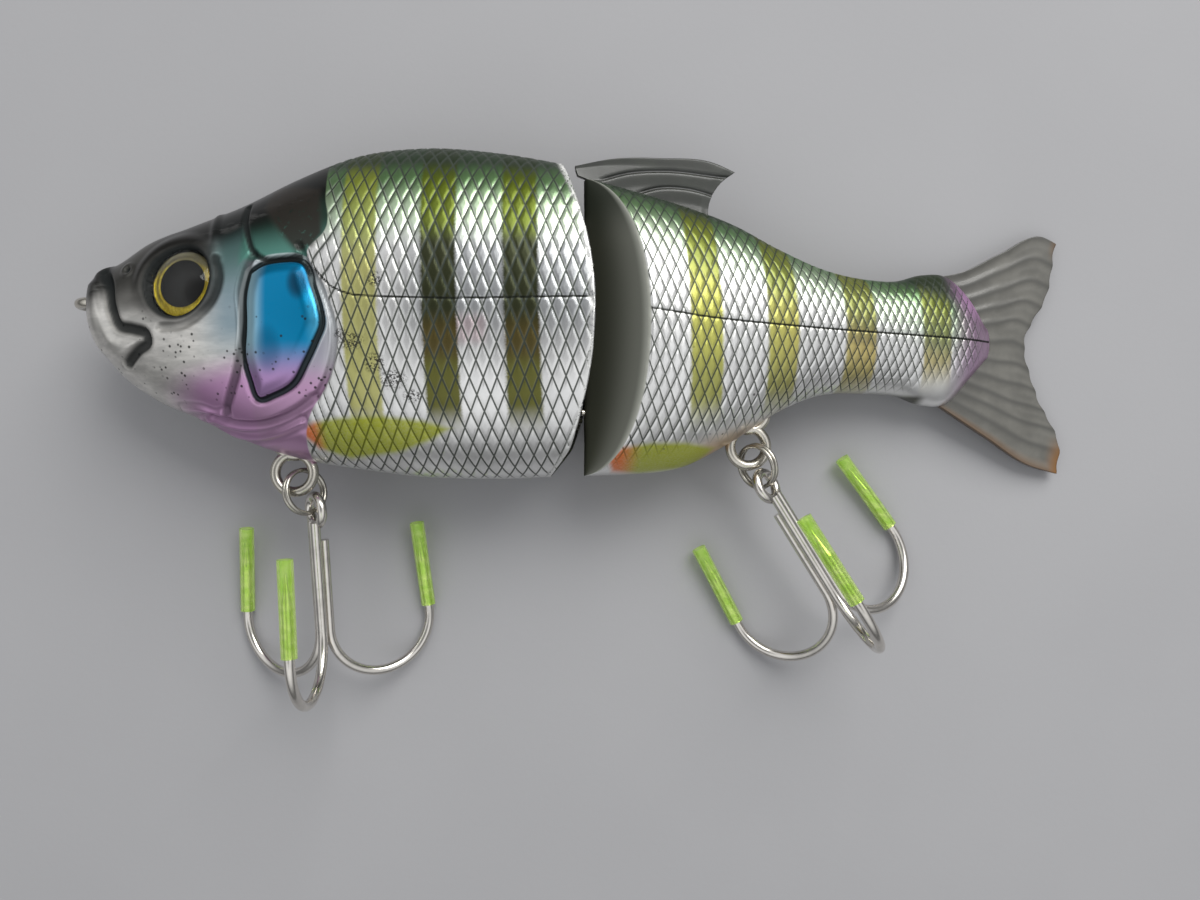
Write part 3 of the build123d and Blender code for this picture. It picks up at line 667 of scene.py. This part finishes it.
class Finish(Nodes):
    """One material: its nodes, and the shader that they feed."""

    def __init__(self, name, **uniform):
        self.material = bpy.data.materials.new(name)
        self.material.use_nodes = True
        super().__init__(self.material.node_tree)
        self.shader = self.tree.nodes["Principled BSDF"]
        for socket, value in uniform.items():
            self.shader.inputs[socket.replace("_", " ")].default_value = value

    def kept(self, name):
        """The three numbers that a mesh keeps under a name."""
        stored = self.node("ShaderNodeAttribute", {"attribute_name": name})
        parts = self.node("ShaderNodeSeparateXYZ", None, {0: stored.outputs["Vector"]})
        return stored.outputs["Vector"], [Value(self, s) for s in parts.outputs]

    def place(self):
        """The mesh's own place, in metres."""
        return self.node("ShaderNodeTexCoord").outputs["Object"]

    def noise(self, where, scale, detail=3.0, roughness=0.55):
        sockets = {"Vector": where, "Scale": scale, "Detail": detail, "Roughness": roughness}
        return Value(self, self.node("ShaderNodeTexNoise", None, sockets).outputs["Fac"])

    def spots(self, where, scale):
        """Distance from the nearest of many scattered points."""
        made = self.node("ShaderNodeTexVoronoi", None, {"Vector": where, "Scale": scale})
        return Value(self, made.outputs["Distance"])

    def stretched(self, where, x, y, z):
        """The place with each of its directions scaled."""
        made = self.node("ShaderNodeVectorMath", {"operation": "MULTIPLY"}, {0: where, 1: (x, y, z)})
        return made.outputs[0]

    def bump(self, height, strength, distance):
        sockets = {"Strength": strength, "Distance": distance, "Height": height}
        made = self.node("ShaderNodeBump", None, sockets)
        self.feed(self.shader.inputs["Normal"], made.outputs[0])

    def give(self, **sockets):
        """Feeds the shader's sockets, and hands over the finished material."""
        for name, value in sockets.items():
            self.feed(self.shader.inputs[name.replace("_", " ")], value)
        return self.material


def inside_outline(x, y, outline, soft):
    """A painted patch's mask, from the distance to an outline that bulges outwards."""
    edges = list(zip(outline, outline[1:] + outline[:1]))
    turn = math.copysign(1, sum(a[0] * b[1] - b[0] * a[1] for a, b in edges))
    depths = []
    for (ax, ay), (bx, by) in edges:
        size = turn * math.hypot(bx - ax, by - ay)
        nx, ny = -(by - ay) / size, (bx - ax) / size
        depths.append(x * nx + y * ny - (ax * nx + ay * ny))
    return functools.reduce(Value.least, depths).ease(-soft, soft)


SILVER = (0.66, 0.66, 0.65)
NET_LINE = (0.045, 0.055, 0.045)
LEAF = (0.30, 0.33, 0.008)
ORANGE = (0.55, 0.12, 0.006)
LILAC = (0.46, 0.25, 0.46)


def scale_colours(f, colour, first, second, mask, bright):
    """Draws the net's dark lines over the paint, and lays a painted highlight along one edge of each scale.
    """
    near = first.fold().least(second.fold()) * LINE_SPACING
    line = near.ease(0.19, 0.07) * mask
    painted_edge_highlight = (1 - first.maths("FRACT")).most(second.maths("FRACT")).ease(0.80, 0.97) * mask
    # painted highlight along one edge of each scale, as strong as bright says
    colour = f.mix(painted_edge_highlight * bright * 0.35, colour, (0.95, 0.95, 0.90))
    return f.mix(line * 0.92, colour, NET_LINE), line


def bars(x, y, soft, grain, tail):
    """Dark bars down the flank, with ragged edges."""
    ragged = x + y * 0.03 + soft * 0.2 + (grain - 0.5) * 0.5
    found = [
        abs(ragged - middle).ease(half + 0.35, half - 0.35) * strength
        for middle, half, strength in (TAIL_BARS if tail else FRONT_BARS)
    ]
    return functools.reduce(Value.most, found)


def bar_colours(f, x, y, back, lateral, tail):
    """The bars' own olive and brown, which changes along and up the flank."""
    if tail:
        return f.coated(
            (0.42, 0.42, 0.075),
            (x.ease(24.0, 50.0), (0.46, 0.36, 0.10)),
            (abs(lateral - 1.2).ease(1.4, 0.3) * x.ease(38.0, 46.0) * 0.5, (0.10, 0.07, 0.012)),
            (back.ease(4.0, 11.0) * 0.85, (0.12, 0.15, 0.012)),
            (y.ease(-7.0, -14.0) * 0.5, (0.17, 0.18, 0.05)),
        )
    dull = f.coated(
        (0.022, 0.026, 0.006),
        (y.ease(6.0, 10.5), (0.105, 0.135, 0.010)),
        (y.ease(-3.0, -7.0), (0.070, 0.052, 0.006)),
        (y.ease(-9.0, -12.0), (0.10, 0.10, 0.010)),
    )
    return f.mix(x.ease(-24.0, -28.0), dull, f.mix(y.ease(2.0, 8.0), (0.36, 0.35, 0.05), (0.26, 0.29, 0.03)))


def face_colours(f, y, reach, tail):
    """Dull paint on the joint's face, paler on the tail section's wedge, where painted shade darkens it
    deeper in the joint and a painted highlight runs along its rim.
    """
    # on the tail's wedge this darker tone deeper in is painted shade in the joint; on the front face it is a
    # slightly lighter tone
    inner = (reach.ease(0.1, 0.75), (0.055, 0.058, 0.042))
    if not tail:
        return f.coated((0.040, 0.042, 0.034), inner)
    above = (y.ease(8.0, 16.0) * 0.8, (0.030, 0.036, 0.026))
    # painted highlight along the wedge's rim
    rim = (reach.ease(0.16, 0.03) * 0.85, (0.42, 0.43, 0.38))
    return f.coated((0.165, 0.170, 0.145), inner, above, rim)


def squared(x, y, place, along=1.0, up=1.0):
    """Square of the distance from a place, with its two parts weighed."""
    dx, dy = (x - place[0]) * along, (y - place[1]) * up
    return dx * dx + dy * dy


def scuffs(x, y):
    """Where the paint is worn through behind the gill cover."""
    found = [squared(x, y, scuff, 1 / scuff[2], 1 / scuff[3]).ease(1.0, 0.1) for scuff in SCUFFS]
    return functools.reduce(Value.most, found)


def flank_paint(name, tail):
    """Airbrushed fish paint on a silver base, under clear gloss."""
    f = Finish(name, IOR=1.45, Coat_Roughness=0.12, Specular_IOR_Level=0.12)
    place, (x, y, _) = f.kept("lure")
    _, (first, second, mask) = f.kept("net")
    _, (shade, reach, edge) = f.kept("relief")
    _, (lateral, plate, over) = f.kept("marks")
    cloud = f.noise(place, 0.11, 4)
    soft = (cloud - 0.5) * 2.4
    grain = f.noise(place, 3.2, 5)
    dark, green, pale = TAIL_BACK if tail else FRONT_BACK
    colour = f.mix(cloud.ease(0.35, 0.7), SILVER, (0.80, 0.80, 0.79))
    back = y + soft * 0.6
    if tail:
        back = back + x * 0.27
        low_end = (y + x * -0.16).ease(-25.0, -18.5)
    else:
        low_end = back.ease(-22.5, -17.0)
        # grey is a painted reflection of the dark camera above, on the middle of the flank
        grey = y.ease(-12.0, -2.0) * y.ease(11.0, 5.0) * x.ease(-28.0, -19.0)
        pink = abs(x + 14.6).ease(3.2, 1.5) * abs(y + 6.3).ease(3.0, 1.0)
        colour = f.coated(colour, (grey * 0.75, (0.27, 0.285, 0.30)), (pink * 0.35, (0.60, 0.36, 0.40)))
    bar = bars(x, y, soft, grain, tail) * low_end
    black_back = back.ease(green - 1.0, dark)
    colour = f.coated(
        colour,
        (back.ease(pale - 4.0, pale + 2.5) * 0.75, (0.36, 0.50, 0.29)),
        (back.ease(pale + 1.5, green + 1.0) * 0.85, (0.085, 0.20, 0.055)),
        (bar * 0.97, bar_colours(f, x, y, back, lateral, tail)),
        (black_back * 0.95, (0.016, 0.024, 0.016)),
    )
    if tail:
        under = (y + x * -0.30).ease(-27.0, -31.0) * x.ease(16.0, 22.0) * x.ease(44.0, 36.0)
        # hollow is painted shade in the notch under the tail's narrow end
        hollow = x.ease(49.0, 50.5) * x.ease(59.5, 57.5) * (y + x * 0.05).ease(-11.8, -12.6)
        colour = f.coated(
            colour,
            (under * 0.7, (0.50, 0.26, 0.03)),
            (x.ease(61.5, 68.0) * 0.75, LILAC),
            (hollow * 0.9, (0.030, 0.032, 0.018)),
        )
    # bright sets the strength of the painted highlight on the scales' edges: weaker on the bars and the dark
    # back
    bright = (1 - bar * 0.85) * back.ease(green + 1.5, green - 1.5)
    colour, line = scale_colours(f, colour, first, second, mask, bright)
    patch = inside_outline(x, y, TAIL_FIN_PATCH if tail else FRONT_FIN_PATCH, 0.6)
    patch = patch * (grain * 0.35 + 0.78).least(1.0)
    tip = x.ease(10.5, 6.5) if tail else x.ease(-36.8, -39.2)
    patch_colour = f.mix(line * 0.7, f.mix(tip, LEAF, ORANGE), (0.05, 0.06, 0.008))
    colour = f.mix(patch * 0.95, colour, patch_colour)
    metal = (1 - patch * 0.8) * (1 - bar * 0.35)
    if tail:
        fleck = f.spots(place, 0.55).ease(0.16, 0.07) * f.noise(place, 0.21, 2).ease(0.55, 0.66)
        colour = f.mix(fleck * 0.8, colour, (0.05, 0.05, 0.045))
    else:
        black = inside_outline(x, y, SHOULDER_PATCH, 0.7) * f.noise(place, 0.9, 4).ease(0.25, 0.42)
        colour = f.coated(
            colour,
            (over.ease(0.15, -0.15), head_colours(f, place, x, y, soft, plate, over)),
            (black * 0.95, (0.020, 0.017, 0.014)),
            (scuffs(x, y) * grain.ease(0.47, 0.56) * 0.92, (0.03, 0.028, 0.025)),
        )
        metal = metal * (1 - black * 0.9)
    side_line = (lateral.ease(0.24, 0.10) * 0.95, (0.012, 0.014, 0.010))
    # the shade mix lays painted shade in the head's hollows and the tie's pocket, and darkens the rim round
    # the eye
    colour = f.coated(colour, side_line, (shade * 0.96, (0.010, 0.012, 0.012)))
    if not tail:
        wear = edge * (1 - reach.ease(0.0, 0.02)) * grain.ease(0.36, 0.48)
        colour = f.mix(wear, colour, (0.78, 0.78, 0.76))
    face = reach.ease(0.001, 0.03)
    colour = f.mix(face, colour, face_colours(f, y, reach, tail))
    gloss = (1 - shade) * (1 - black_back * 0.85)
    f.bump(grain * 0.5 + f.noise(place, 7.0, 3) * 0.4, 0.10, 0.00006)
    return f.give(
        Base_Color=colour,
        Metallic=metal * (1 - face) * gloss * 0.85,
        Roughness=0.27 + grain * 0.10 + face * 0.28 + line * 0.15 + shade * 0.2,
        Coat_Weight=(1 - face) * gloss * (1 - bar * 0.8) * 0.18,
    )


def gill_plate_colours(f, x, y):
    """Bright blue with two deeper spots, lighter at its front edge and lilac below."""
    return f.coated(
        (0.0, 0.22, 0.44),
        (x.ease(-44.4, -47.4), (0.40, 0.64, 0.74)),
        (x.ease(-39.0, -36.8) * 0.5, (0.12, 0.45, 0.62)),
        (y.ease(-7.5, -13.5), (0.42, 0.26, 0.50)),
        (squared(x, y, (-39.6, 0.6), up=math.sqrt(0.5)).ease(4.5, 0.3) * 0.85, (0.004, 0.035, 0.075)),
        (squared(x, y, (-44.5, -9.0), up=math.sqrt(0.4)).ease(7.0, 0.3) * 0.5, (0.0, 0.07, 0.16)),
    )


def head_colours(f, place, x, y, soft, plate, over):
    """Dark crown, silver cheek, lilac throat and the blue gill plate, with painted shade in the groove round
    the plate and a painted highlight just outside it.
    """
    crown = y + (x + 60.0) * -0.40 + soft * 0.5
    streak = f.noise(f.stretched(place, 0.5, 1.6, 1.0), 0.5, 4)
    pink = (y + (x + 50.0) * -0.22).ease(-8.5, -14.0) * x.ease(-65.0, -55.0)
    hide = f.mix(over.ease(0.0, -2.5), (0.62, 0.64, 0.66), (0.36, 0.37, 0.42))
    hide = f.mix(y.ease(-10.0, -15.0), hide, (0.50, 0.30, 0.47))
    upper = x.ease(-49.8, -48.6) * (y + (x + 48.5).least(0.0) * -1.2).ease(4.0, 4.8)
    green = f.mix(y.ease(5.0, 11.0), (0.10, 0.27, 0.22), (0.022, 0.045, 0.030))
    # shine is a painted highlight just outside the gill plate
    shine = abs(plate + 0.95).ease(0.35, 0.1) * y.ease(-15.0, -6.0)
    ridge = abs(crown - 6.5).ease(1.4, 0.2) * streak.ease(0.45, 0.6)
    snout = x.ease(-62.0, -67.0) * x.ease(-72.4, -70.6) * y.ease(-4.5, -1.0)
    from_eye = squared(x, y, EYE).maths("SQRT")
    specks = f.spots(place, 0.85).ease(0.24, 0.12) * f.noise(place, 0.25, 2).ease(0.45, 0.56)
    specks = specks * y.ease(-18.0, -15.0) * y.ease(-1.5, -5.0)
    return f.coated(
        f.mix(streak.ease(0.35, 0.7), (0.55, 0.54, 0.51), (0.74, 0.72, 0.68)),
        (x.ease(-57.0, -50.5) * y.ease(-13.0, -5.0) * 0.9, (0.22, 0.31, 0.36)),
        (y.ease(-3.0, 6.0) * x.ease(-57.0, -51.0) * 0.85, (0.09, 0.19, 0.17)),
        (pink * 0.95, (0.52, 0.28, 0.50)),
        (x.ease(-48.6, -47.4) * y.ease(5.0, 3.5) * 0.9, hide),
        (upper * 0.95, green),
        (plate.ease(-0.1, 0.2), gill_plate_colours(f, x, y)),
        # painted shade in the groove round the gill plate
        (abs(plate + 0.25).ease(0.62, 0.36) * 0.97, (0.008, 0.018, 0.020)),
        (shine * 0.6, (0.75, 0.82, 0.84)),
        (crown.ease(2.0, 6.5) * 0.97, (0.014, 0.014, 0.013)),
        (ridge * 0.35, (0.22, 0.22, 0.21)),
        (snout * 0.8, (0.10, 0.098, 0.088)),
        (from_eye.ease(8.6, 6.0) * 0.75 * y.ease(-9.5, -2.0), (0.030, 0.029, 0.026)),
        (specks * 0.9, (0.02, 0.02, 0.02)),
    )


def polished_wire(name, tone, rough, tarnish):
    """Plated or stainless wire with faint draw lines and handling marks."""
    f = Finish(name, Metallic=1.0, IOR=1.5)
    place = f.place()
    cloud = f.noise(place, 260.0, 4, 0.6)
    lines = f.noise(f.stretched(place, 900, 900, 2600), 1.0, 3)
    colour = f.mix(cloud.ease(0.42, 0.72) * tarnish, tone, tuple(0.45 * c for c in tone))
    colour = f.mix(lines.ease(0.55, 0.75) * 0.15, colour, (0.9, 0.88, 0.84))
    f.bump(lines * 0.4 + cloud * 0.6, 0.12, 0.00004)
    return f.give(Base_Color=colour, Roughness=rough + cloud * 0.12)


def guard_plastic():
    """Clear fluorescent soft tube, with a faint painted glow for its fluorescence."""
    f = Finish("guard_sleeve_green", IOR=1.38, Transmission_Weight=0.9, Emission_Strength=0.05)
    place = f.place()
    streak = f.noise(f.stretched(place, 500, 900, 900), 1.0, 3)
    fine = f.noise(place, 1500.0, 3)
    colour = f.mix(streak.ease(0.35, 0.7), (0.66, 0.88, 0.26), (0.84, 0.96, 0.50))
    # glow is a painted glow: emission that stands in for the fluorescence
    glow = f.mix(streak.ease(0.3, 0.7), (0.38, 0.62, 0.06), (0.55, 0.80, 0.18))
    return f.give(Base_Color=colour, Roughness=0.04 + fine * 0.08, Emission_Color=glow)


def soft_fin_plastic(name, clear, ribs, tips):
    """Smoky soft plastic, darker along its rays; on the dorsal fin these are the creases between its blades,
    and the darkening there is painted shade.
    """
    f = Finish(name, IOR=1.48, Coat_Weight=0.35, Coat_Roughness=0.15)
    place, (_, y, _) = f.kept("lure")
    _, (ray, out, side) = f.kept("rays")
    cloud = f.noise(place, 0.25, 4)
    colour = f.mix(cloud.ease(0.3, 0.7), clear, tuple(0.72 * c for c in clear))
    # darker along the rays; on the dorsal fin this is painted shade in the creases
    colour = f.mix(ray * 0.8, colour, ribs)
    if tips:
        colour = f.mix(out.ease(0.55, 0.0) * 0.55, colour, ribs)
        low = out.ease(0.88, 1.0) * y.ease(-21.0, -25.5) * 0.9
        high = out.ease(0.94, 1.0) * y.ease(8.0, 11.5) * 0.35
        edge = side.ease(0.05, 0.0) * y.ease(-10.0, -20.0) * 0.35
        colour = f.mix(low.most(high).most(edge), colour, tips)
    fine = f.noise(place, 4.0, 3)
    f.bump(fine, 0.12, 0.00006)
    return f.give(Base_Color=colour, Roughness=0.26 + cloud * 0.14, Alpha=1 - (1 - ray) * 0.10)


def clear_dome():
    """Clear cast plastic with a faint haze."""
    f = Finish("eye_dome_clear", IOR=1.30, Transmission_Weight=1.0)
    place = f.place()
    haze = f.noise(place, 700.0, 3)
    colour = f.mix(haze.ease(0.3, 0.8), (1.0, 1.0, 1.0), (0.93, 0.94, 0.90))
    return f.give(Base_Color=colour, Roughness=0.015 + haze * 0.03)


def eye_foil():
    """Gold foil round a black pupil, grey above it, and a black ring at the rim: painted shade for the dark
    edge that the dome's refraction shows.
    """
    f = Finish("eye_foil_gold", IOR=1.5, Specular_IOR_Level=0.15)
    _, (radius, _, up) = f.kept("dial")
    place = f.place()
    fibres = f.noise(f.stretched(place, 2500, 900, 2500), 1.0, 4)
    colour = f.mix(fibres.ease(0.3, 0.7), (0.40, 0.29, 0.015), (0.66, 0.52, 0.05))
    colour = f.mix((radius + up * 0.8).ease(0.92, 1.25) * 0.85, colour, (0.17, 0.165, 0.13))
    pupil = radius.ease(0.675, 0.645)
    colour = f.mix(pupil, colour, (0.0015, 0.0015, 0.0012))
    # painted shade: the black ring stands in for the dark edge that the dome's refraction shows
    rim = radius.ease(0.89, 0.93)
    colour = f.mix(rim, colour, (0.004, 0.004, 0.004))
    plain = (1 - pupil) * (1 - rim)
    return f.give(Base_Color=colour, Metallic=plain * 0.8, Roughness=0.34 + fibres * 0.12)


# ---------------------------------------------------------------- other pieces

def iris_disc(name, side):
    """The painted disc behind an eye's dome: dished gold ring, raised pupil, and a flat rear side."""
    centre, out, rim, dome_radius = eye_dome(side)
    right = np.cross((0, 1, 0), out)
    right /= np.linalg.norm(right)
    up = np.cross(out, right)
    radius = dome_radius - 0.05
    top = rim - 0.14
    rings = np.array([0.02, 0.2, 0.4, 0.55, 0.66, 0.70, 0.72, 0.76, 0.82, 0.88, 0.93, 0.96, 1.0])
    pupil = 0.10 * np.cos(np.clip(rings / 0.71, 0, 1) * math.pi / 2)
    front = pupil - 0.22 * ease(rings, 0.72, 0.80) + 0.20 * ease(rings, 0.86, 0.98)
    rear = np.full(len(rings), -0.75)
    turns = 96
    points, faces, dial = [], [], []
    for levels in (front, rear):
        for r, level in zip(rings, levels):
            for a in np.linspace(0, 2 * math.pi, turns, endpoint=False):
                along, above = math.cos(a) * r, math.sin(a) * r
                points.append(centre + out * (top + level) + (right * along + up * above) * radius)
                dial.append((r, along, above))
    size = len(rings) * turns
    for base in (0, size):
        for i in range(len(rings) - 1):
            for j in range(turns):
                k = (j + 1) % turns
                a, b = base + i * turns, base + (i + 1) * turns
                faces.append((a + j, b + j, b + k, a + k))
        faces.append(tuple(base + j for j in range(turns)))
    edge = size - turns
    for j in range(turns):
        k = (j + 1) % turns
        faces.append((edge + j, edge + size + j, edge + size + k, edge + k))
    piece = make_mesh(name, placed(points), faces)
    store(piece, "dial", dial)
    tidy(piece)
    return piece


def fin_plate(name, outline, half_thickness, ray_mask, rows, columns):
    """A closed soft plate over a four-sided patch: outline(u, v) gives X and Y in millimetres."""
    u, v = np.meshgrid(np.linspace(0, 1, columns), np.linspace(0, 1, rows))
    x, y = outline(u, v)
    ray, relief, edge = ray_mask(u, v, x, y)
    half = half_thickness(u, v) + relief
    front = np.stack((x, y, half), axis=-1).reshape(-1, 3)
    rear = np.stack((x, y, -half), axis=-1).reshape(-1, 3)
    count = rows * columns
    faces = grid_faces(rows, columns) + grid_faces(rows, columns, count, flip=True)
    index = np.arange(count).reshape(rows, columns)
    ring = [*index[0, :], *index[1:, -1], *index[-1, -2::-1], *index[-2:0:-1, 0]]
    for a, b in zip(ring, ring[1:] + ring[:1]):
        faces.append((b, a, a + count, b + count))
    points = np.vstack((front, rear))
    piece = make_mesh(name, placed(points, tail=True), faces)
    store(piece, "lure", points)
    kept = np.stack((ray.ravel(), v.ravel(), edge.ravel()), axis=1)
    store(piece, "rays", np.vstack((kept, kept)))
    tidy(piece)
    return piece


def run_along(points, share):
    """X and Y at a share of the way along a smooth line."""
    line = rounded(points, 12)
    run = run_after(np.linalg.norm(np.diff(line, axis=0), axis=1))
    at = share * run[-1]
    return np.interp(at, run, line[:, 0]), np.interp(at, run, line[:, 1])


def patch(low, high, left, right):
    """A four-sided patch between two lines along u and two lines along v."""
    corners = (low[0], low[-1], high[0], high[-1])

    def outline(u, v):
        lines = [run_along(line, at) for line, at in ((low, u), (high, u), (left, v), (right, v))]
        shares = (1 - v, v, 1 - u, u)
        overlaps = ((1 - u) * (1 - v), u * (1 - v), (1 - u) * v, u * v)
        return tuple(
            sum(share * line[axis] for share, line in zip(shares, lines))
            - sum(share * corner[axis] for share, corner in zip(overlaps, corners))
            for axis in (0, 1)
        )
    return outline


def tail_fin_piece():
    """Fan of rays between a concave rear edge and the tail section."""
    end, depth = TAIL_LENGTH, BODY_DEPTH
    root = [(end - 10.9, 0.094 * depth), (end - 8.0, -0.10 * depth), (end - 9.0, -0.312 * depth)]
    rear = [(end + 13.0, 0.222 * depth), (end + 11.4, 0.05 * depth), (end + 7.3, -0.104 * depth),
            (end + 9.3, -0.27 * depth), (end + 13.8, -0.471 * depth), (end + 13.1, -0.54 * depth)]
    upper = [root[0], (end - 4.5, 0.117 * depth), (end + 3.0, 0.185 * depth), (end + 10.4, 0.243 * depth),
             rear[0]]
    lower = [root[-1], (end + 0.1, -0.42 * depth), (end + 8.0, -0.512 * depth), rear[-1]]
    shape = patch(root, rear, upper, lower)

    def wave(u):
        return np.cos(u * 2 * math.pi * FIN_RAYS)

    def wavy(u, v):
        x, y = shape(u, v)
        return x + ease(v, 0.9, 1.0) * 0.12 * wave(u), y

    def rays(u, v, x, y):
        main = 0.5 + 0.5 * wave(u)
        split = 0.5 + 0.5 * wave(2 * u)
        forked = 0.5 * ease(v, 0.5, 0.9)
        ray = main * (1 - forked) + split * forked
        edge = np.minimum(u, 1 - u)
        height = 0.18 * ray * ease(v, 0.0, 0.3) * (1 - 0.5 * v) + 0.12 * (1 - ease(edge, 0.0, 0.04))
        return ray**2, height, edge

    def thickness(u, v):
        return 0.52 - 0.34 * v - 0.05 * ease(v, 0.96, 1.0)

    return fin_plate("tail_fin_soft", wavy, thickness, rays, 110, 260)


def back_line(x):
    """Height of the tail section's back at x."""
    return through(TAIL_LINES, np.array([x]))[0][0]


def dorsal_fin_piece():
    """Three overlapping spine blades, swept back."""
    def above(x, height):
        return (x, back_line(x) + height)

    base = [above(0.9, 0.35), above(6.0, -0.3), above(13.0, -0.8), above(22.2, -0.9)]
    top = [above(0.5, 1.8), above(6.3, 4.5), above(14.7, 7.0), above(22.8, 9.1), above(26.9, 9.2)]
    front = [base[0], above(0.6, 1.1), top[0]]
    rear = [base[-1], above(22.6, 2.6), above(24.4, 6.2), top[-1]]
    second = rounded([(4.6, 19.3), (9.0, 20.6), (15.0, 21.2), (24.5, 20.6)])
    third = rounded([(10.6, 17.4), (14.0, 18.4), (18.5, 18.5), (23.5, 17.5)])

    def blades(u, v, x, y):
        steps = np.zeros_like(x)
        crease = np.zeros_like(x)
        for line, start, rise in ((second, 4.0, 0.20), (third, 10.0, 0.22)):
            under = np.interp(x, line[:, 0], line[:, 1]) - y
            steps += rise * ease(under, 0.0, 0.45) * (1 - ease(under, 0.5, 2.6))
            crease += np.exp(-(under / 0.28) ** 2) * ease(x, start, start + 2.0)
        thick = ease(v, 0.72, 1.0) * (1 - ease(v, 0.97, 1.0))
        # the creases go to the finish as rays, which darkens them: painted shade in the creases between
        # blades
        return np.clip(crease, 0, 1), steps * 1.1 - 0.26 * crease + 0.16 * thick, 1 - v

    def thickness(u, v):
        return 0.52 - 0.16 * v - 0.15 * ease(u, 0.93, 1.0) - 0.12 * ease(v, 0.97, 1.0)

    return fin_plate("dorsal_fin_soft", patch(base, top, front, rear), thickness, blades, 90, 220)


def finish_node(name, material):
    """Gives a piece of the frame its material."""
    node = frame["nodes"][name]
    node.data.materials.clear()
    node.data.materials.append(material)


# ---------------------------------------------------------------- assembly

paints = {False: flank_paint("front_flank_paint", False), True: flank_paint("tail_flank_paint", True)}
for tail, section, body in ((False, "front", "front_section"), (True, "tail", "tail_section")):
    for side, hand in ((1, "left"), (-1, "right")):
        skin = body_half(f"{section}_skin_{hand}", side, tail)
        skin.data.materials.append(paints[tail])
        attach(skin, body)
        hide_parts(f"{section}_shell_{hand}")

foil = eye_foil()
dome = clear_dome()
for side, hand in ((1, "left"), (-1, "right")):
    disc = iris_disc(f"eye_disc_{hand}", side)
    disc.data.materials.append(foil)
    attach(disc, "front_section")
    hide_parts(f"eye_iris_{hand}")
    finish_node(f"eye_lens_{hand}", dome)

tail_smoke = soft_fin_plastic(
    "tail_fin_smoke", (0.150, 0.146, 0.128), (0.050, 0.049, 0.043), (0.20, 0.085, 0.012)
)
tail_fin = tail_fin_piece()
tail_fin.data.materials.append(tail_smoke)
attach(tail_fin, "tail_section")
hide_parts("tail_fin")
dorsal_smoke = soft_fin_plastic("dorsal_fin_smoke", (0.040, 0.044, 0.036), (0.008, 0.009, 0.008), None)
dorsal = dorsal_fin_piece()
dorsal.data.materials.append(dorsal_smoke)
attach(dorsal, "tail_section")
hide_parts("dorsal_fin")

stainless = polished_wire("fitting_stainless", (0.60, 0.57, 0.50), 0.18, 0.45)
finishes = (        # a word in a piece's name, and its material
    ("treble", polished_wire("hook_nickel", (0.70, 0.67, 0.62), 0.14, 0.35)),
    ("split_ring", polished_wire("ring_nickel", (0.46, 0.44, 0.39), 0.20, 0.6)),
    ("point_cap", guard_plastic()),
    ("weight", polished_wire("weight_grey", (0.30, 0.30, 0.31), 0.5, 0.6)),
    ("hanger", stainless),
    ("tie", stainless),
    ("hinge", stainless),
)
for name in frame["nodes"]:
    for word, material in finishes:
        if word in name:
            finish_node(name, material)
            break


# ---------------------------------------------------------------- stage

def pale_floor():
    """Plain grey paper with a faint weave."""
    f = Finish("floor_grey", IOR=1.3)
    place = f.place()
    weave = f.noise(place, 900.0, 4)
    cloud = f.noise(place, 18.0, 3)
    colour = f.mix(cloud.ease(0.3, 0.7), (0.350, 0.350, 0.360), (0.362, 0.362, 0.372))
    f.bump(weave, 0.2, 0.0001)
    return f.give(Base_Color=colour, Roughness=0.9 + weave * 0.05)


def area_light(name, place, size, power, tint):
    """A square lamp that faces the lure."""
    light = bpy.data.lights.new(name, "AREA")
    light.size = size
    light.energy = power
    light.color = tint
    lamp = bpy.data.objects.new(name, light)
    bpy.context.scene.collection.objects.link(lamp)
    lamp.location = place
    lamp.rotation_euler = (Vector((0.0, 0.0, 0.01)) - Vector(place)).to_track_quat("-Z", "Y").to_euler()


FLOOR_HEIGHT = -0.00005
corners = [(x, y, FLOOR_HEIGHT) for x, y in ((-1, -1), (1, -1), (1, 1), (-1, 1))]
floor = make_mesh("floor", corners, [(0, 1, 2, 3)])
floor.data.materials.append(pale_floor())

area_light("window_light", (0.30, 0.52, 0.55), 0.6, 6.0, (1.0, 0.99, 0.97))
world = bpy.data.worlds.new("soft_room")
bpy.context.scene.world = world
world.use_nodes = True
room = Nodes(world.node_tree)
facing = room.node("ShaderNodeTexCoord").outputs["Generated"]
rise = Value(room, room.node("ShaderNodeSeparateXYZ", None, {0: facing}).outputs["Z"])
straight_up = {0: facing, 1: (-0.06, 0.10, 0.993)}
overhead = room.node("ShaderNodeVectorMath", {"operation": "DOT_PRODUCT"}, straight_up)
dark_edge, dark_middle = math.cos(math.radians(34)), math.cos(math.radians(10))
dark_ceiling = Value(room, overhead.outputs["Value"]).ease(dark_edge, dark_middle)
glow = (0.14 + rise.ease(0.15, 0.90) * 0.86) * (1 - dark_ceiling * 0.75)
backdrop = room.tree.nodes["Background"]
room.feed(backdrop.inputs["Color"], room.mix(glow, (0.0, 0.0, 0.0), (0.97, 0.98, 1.0)))
backdrop.inputs["Strength"].default_value = 1.05
bpy.context.scene.view_settings.view_transform = "Standard"

camera = bpy.data.cameras.new("camera")
camera.lens = 29.13
camera.sensor_width = 36.0
camera.clip_start = 0.005
eye_point = bpy.data.objects.new("camera", camera)
eye_point.location = PIN + Vector((0.0045, -0.0240, 0.1554))
bpy.context.scene.collection.objects.link(eye_point)
bpy.context.scene.camera = eye_point
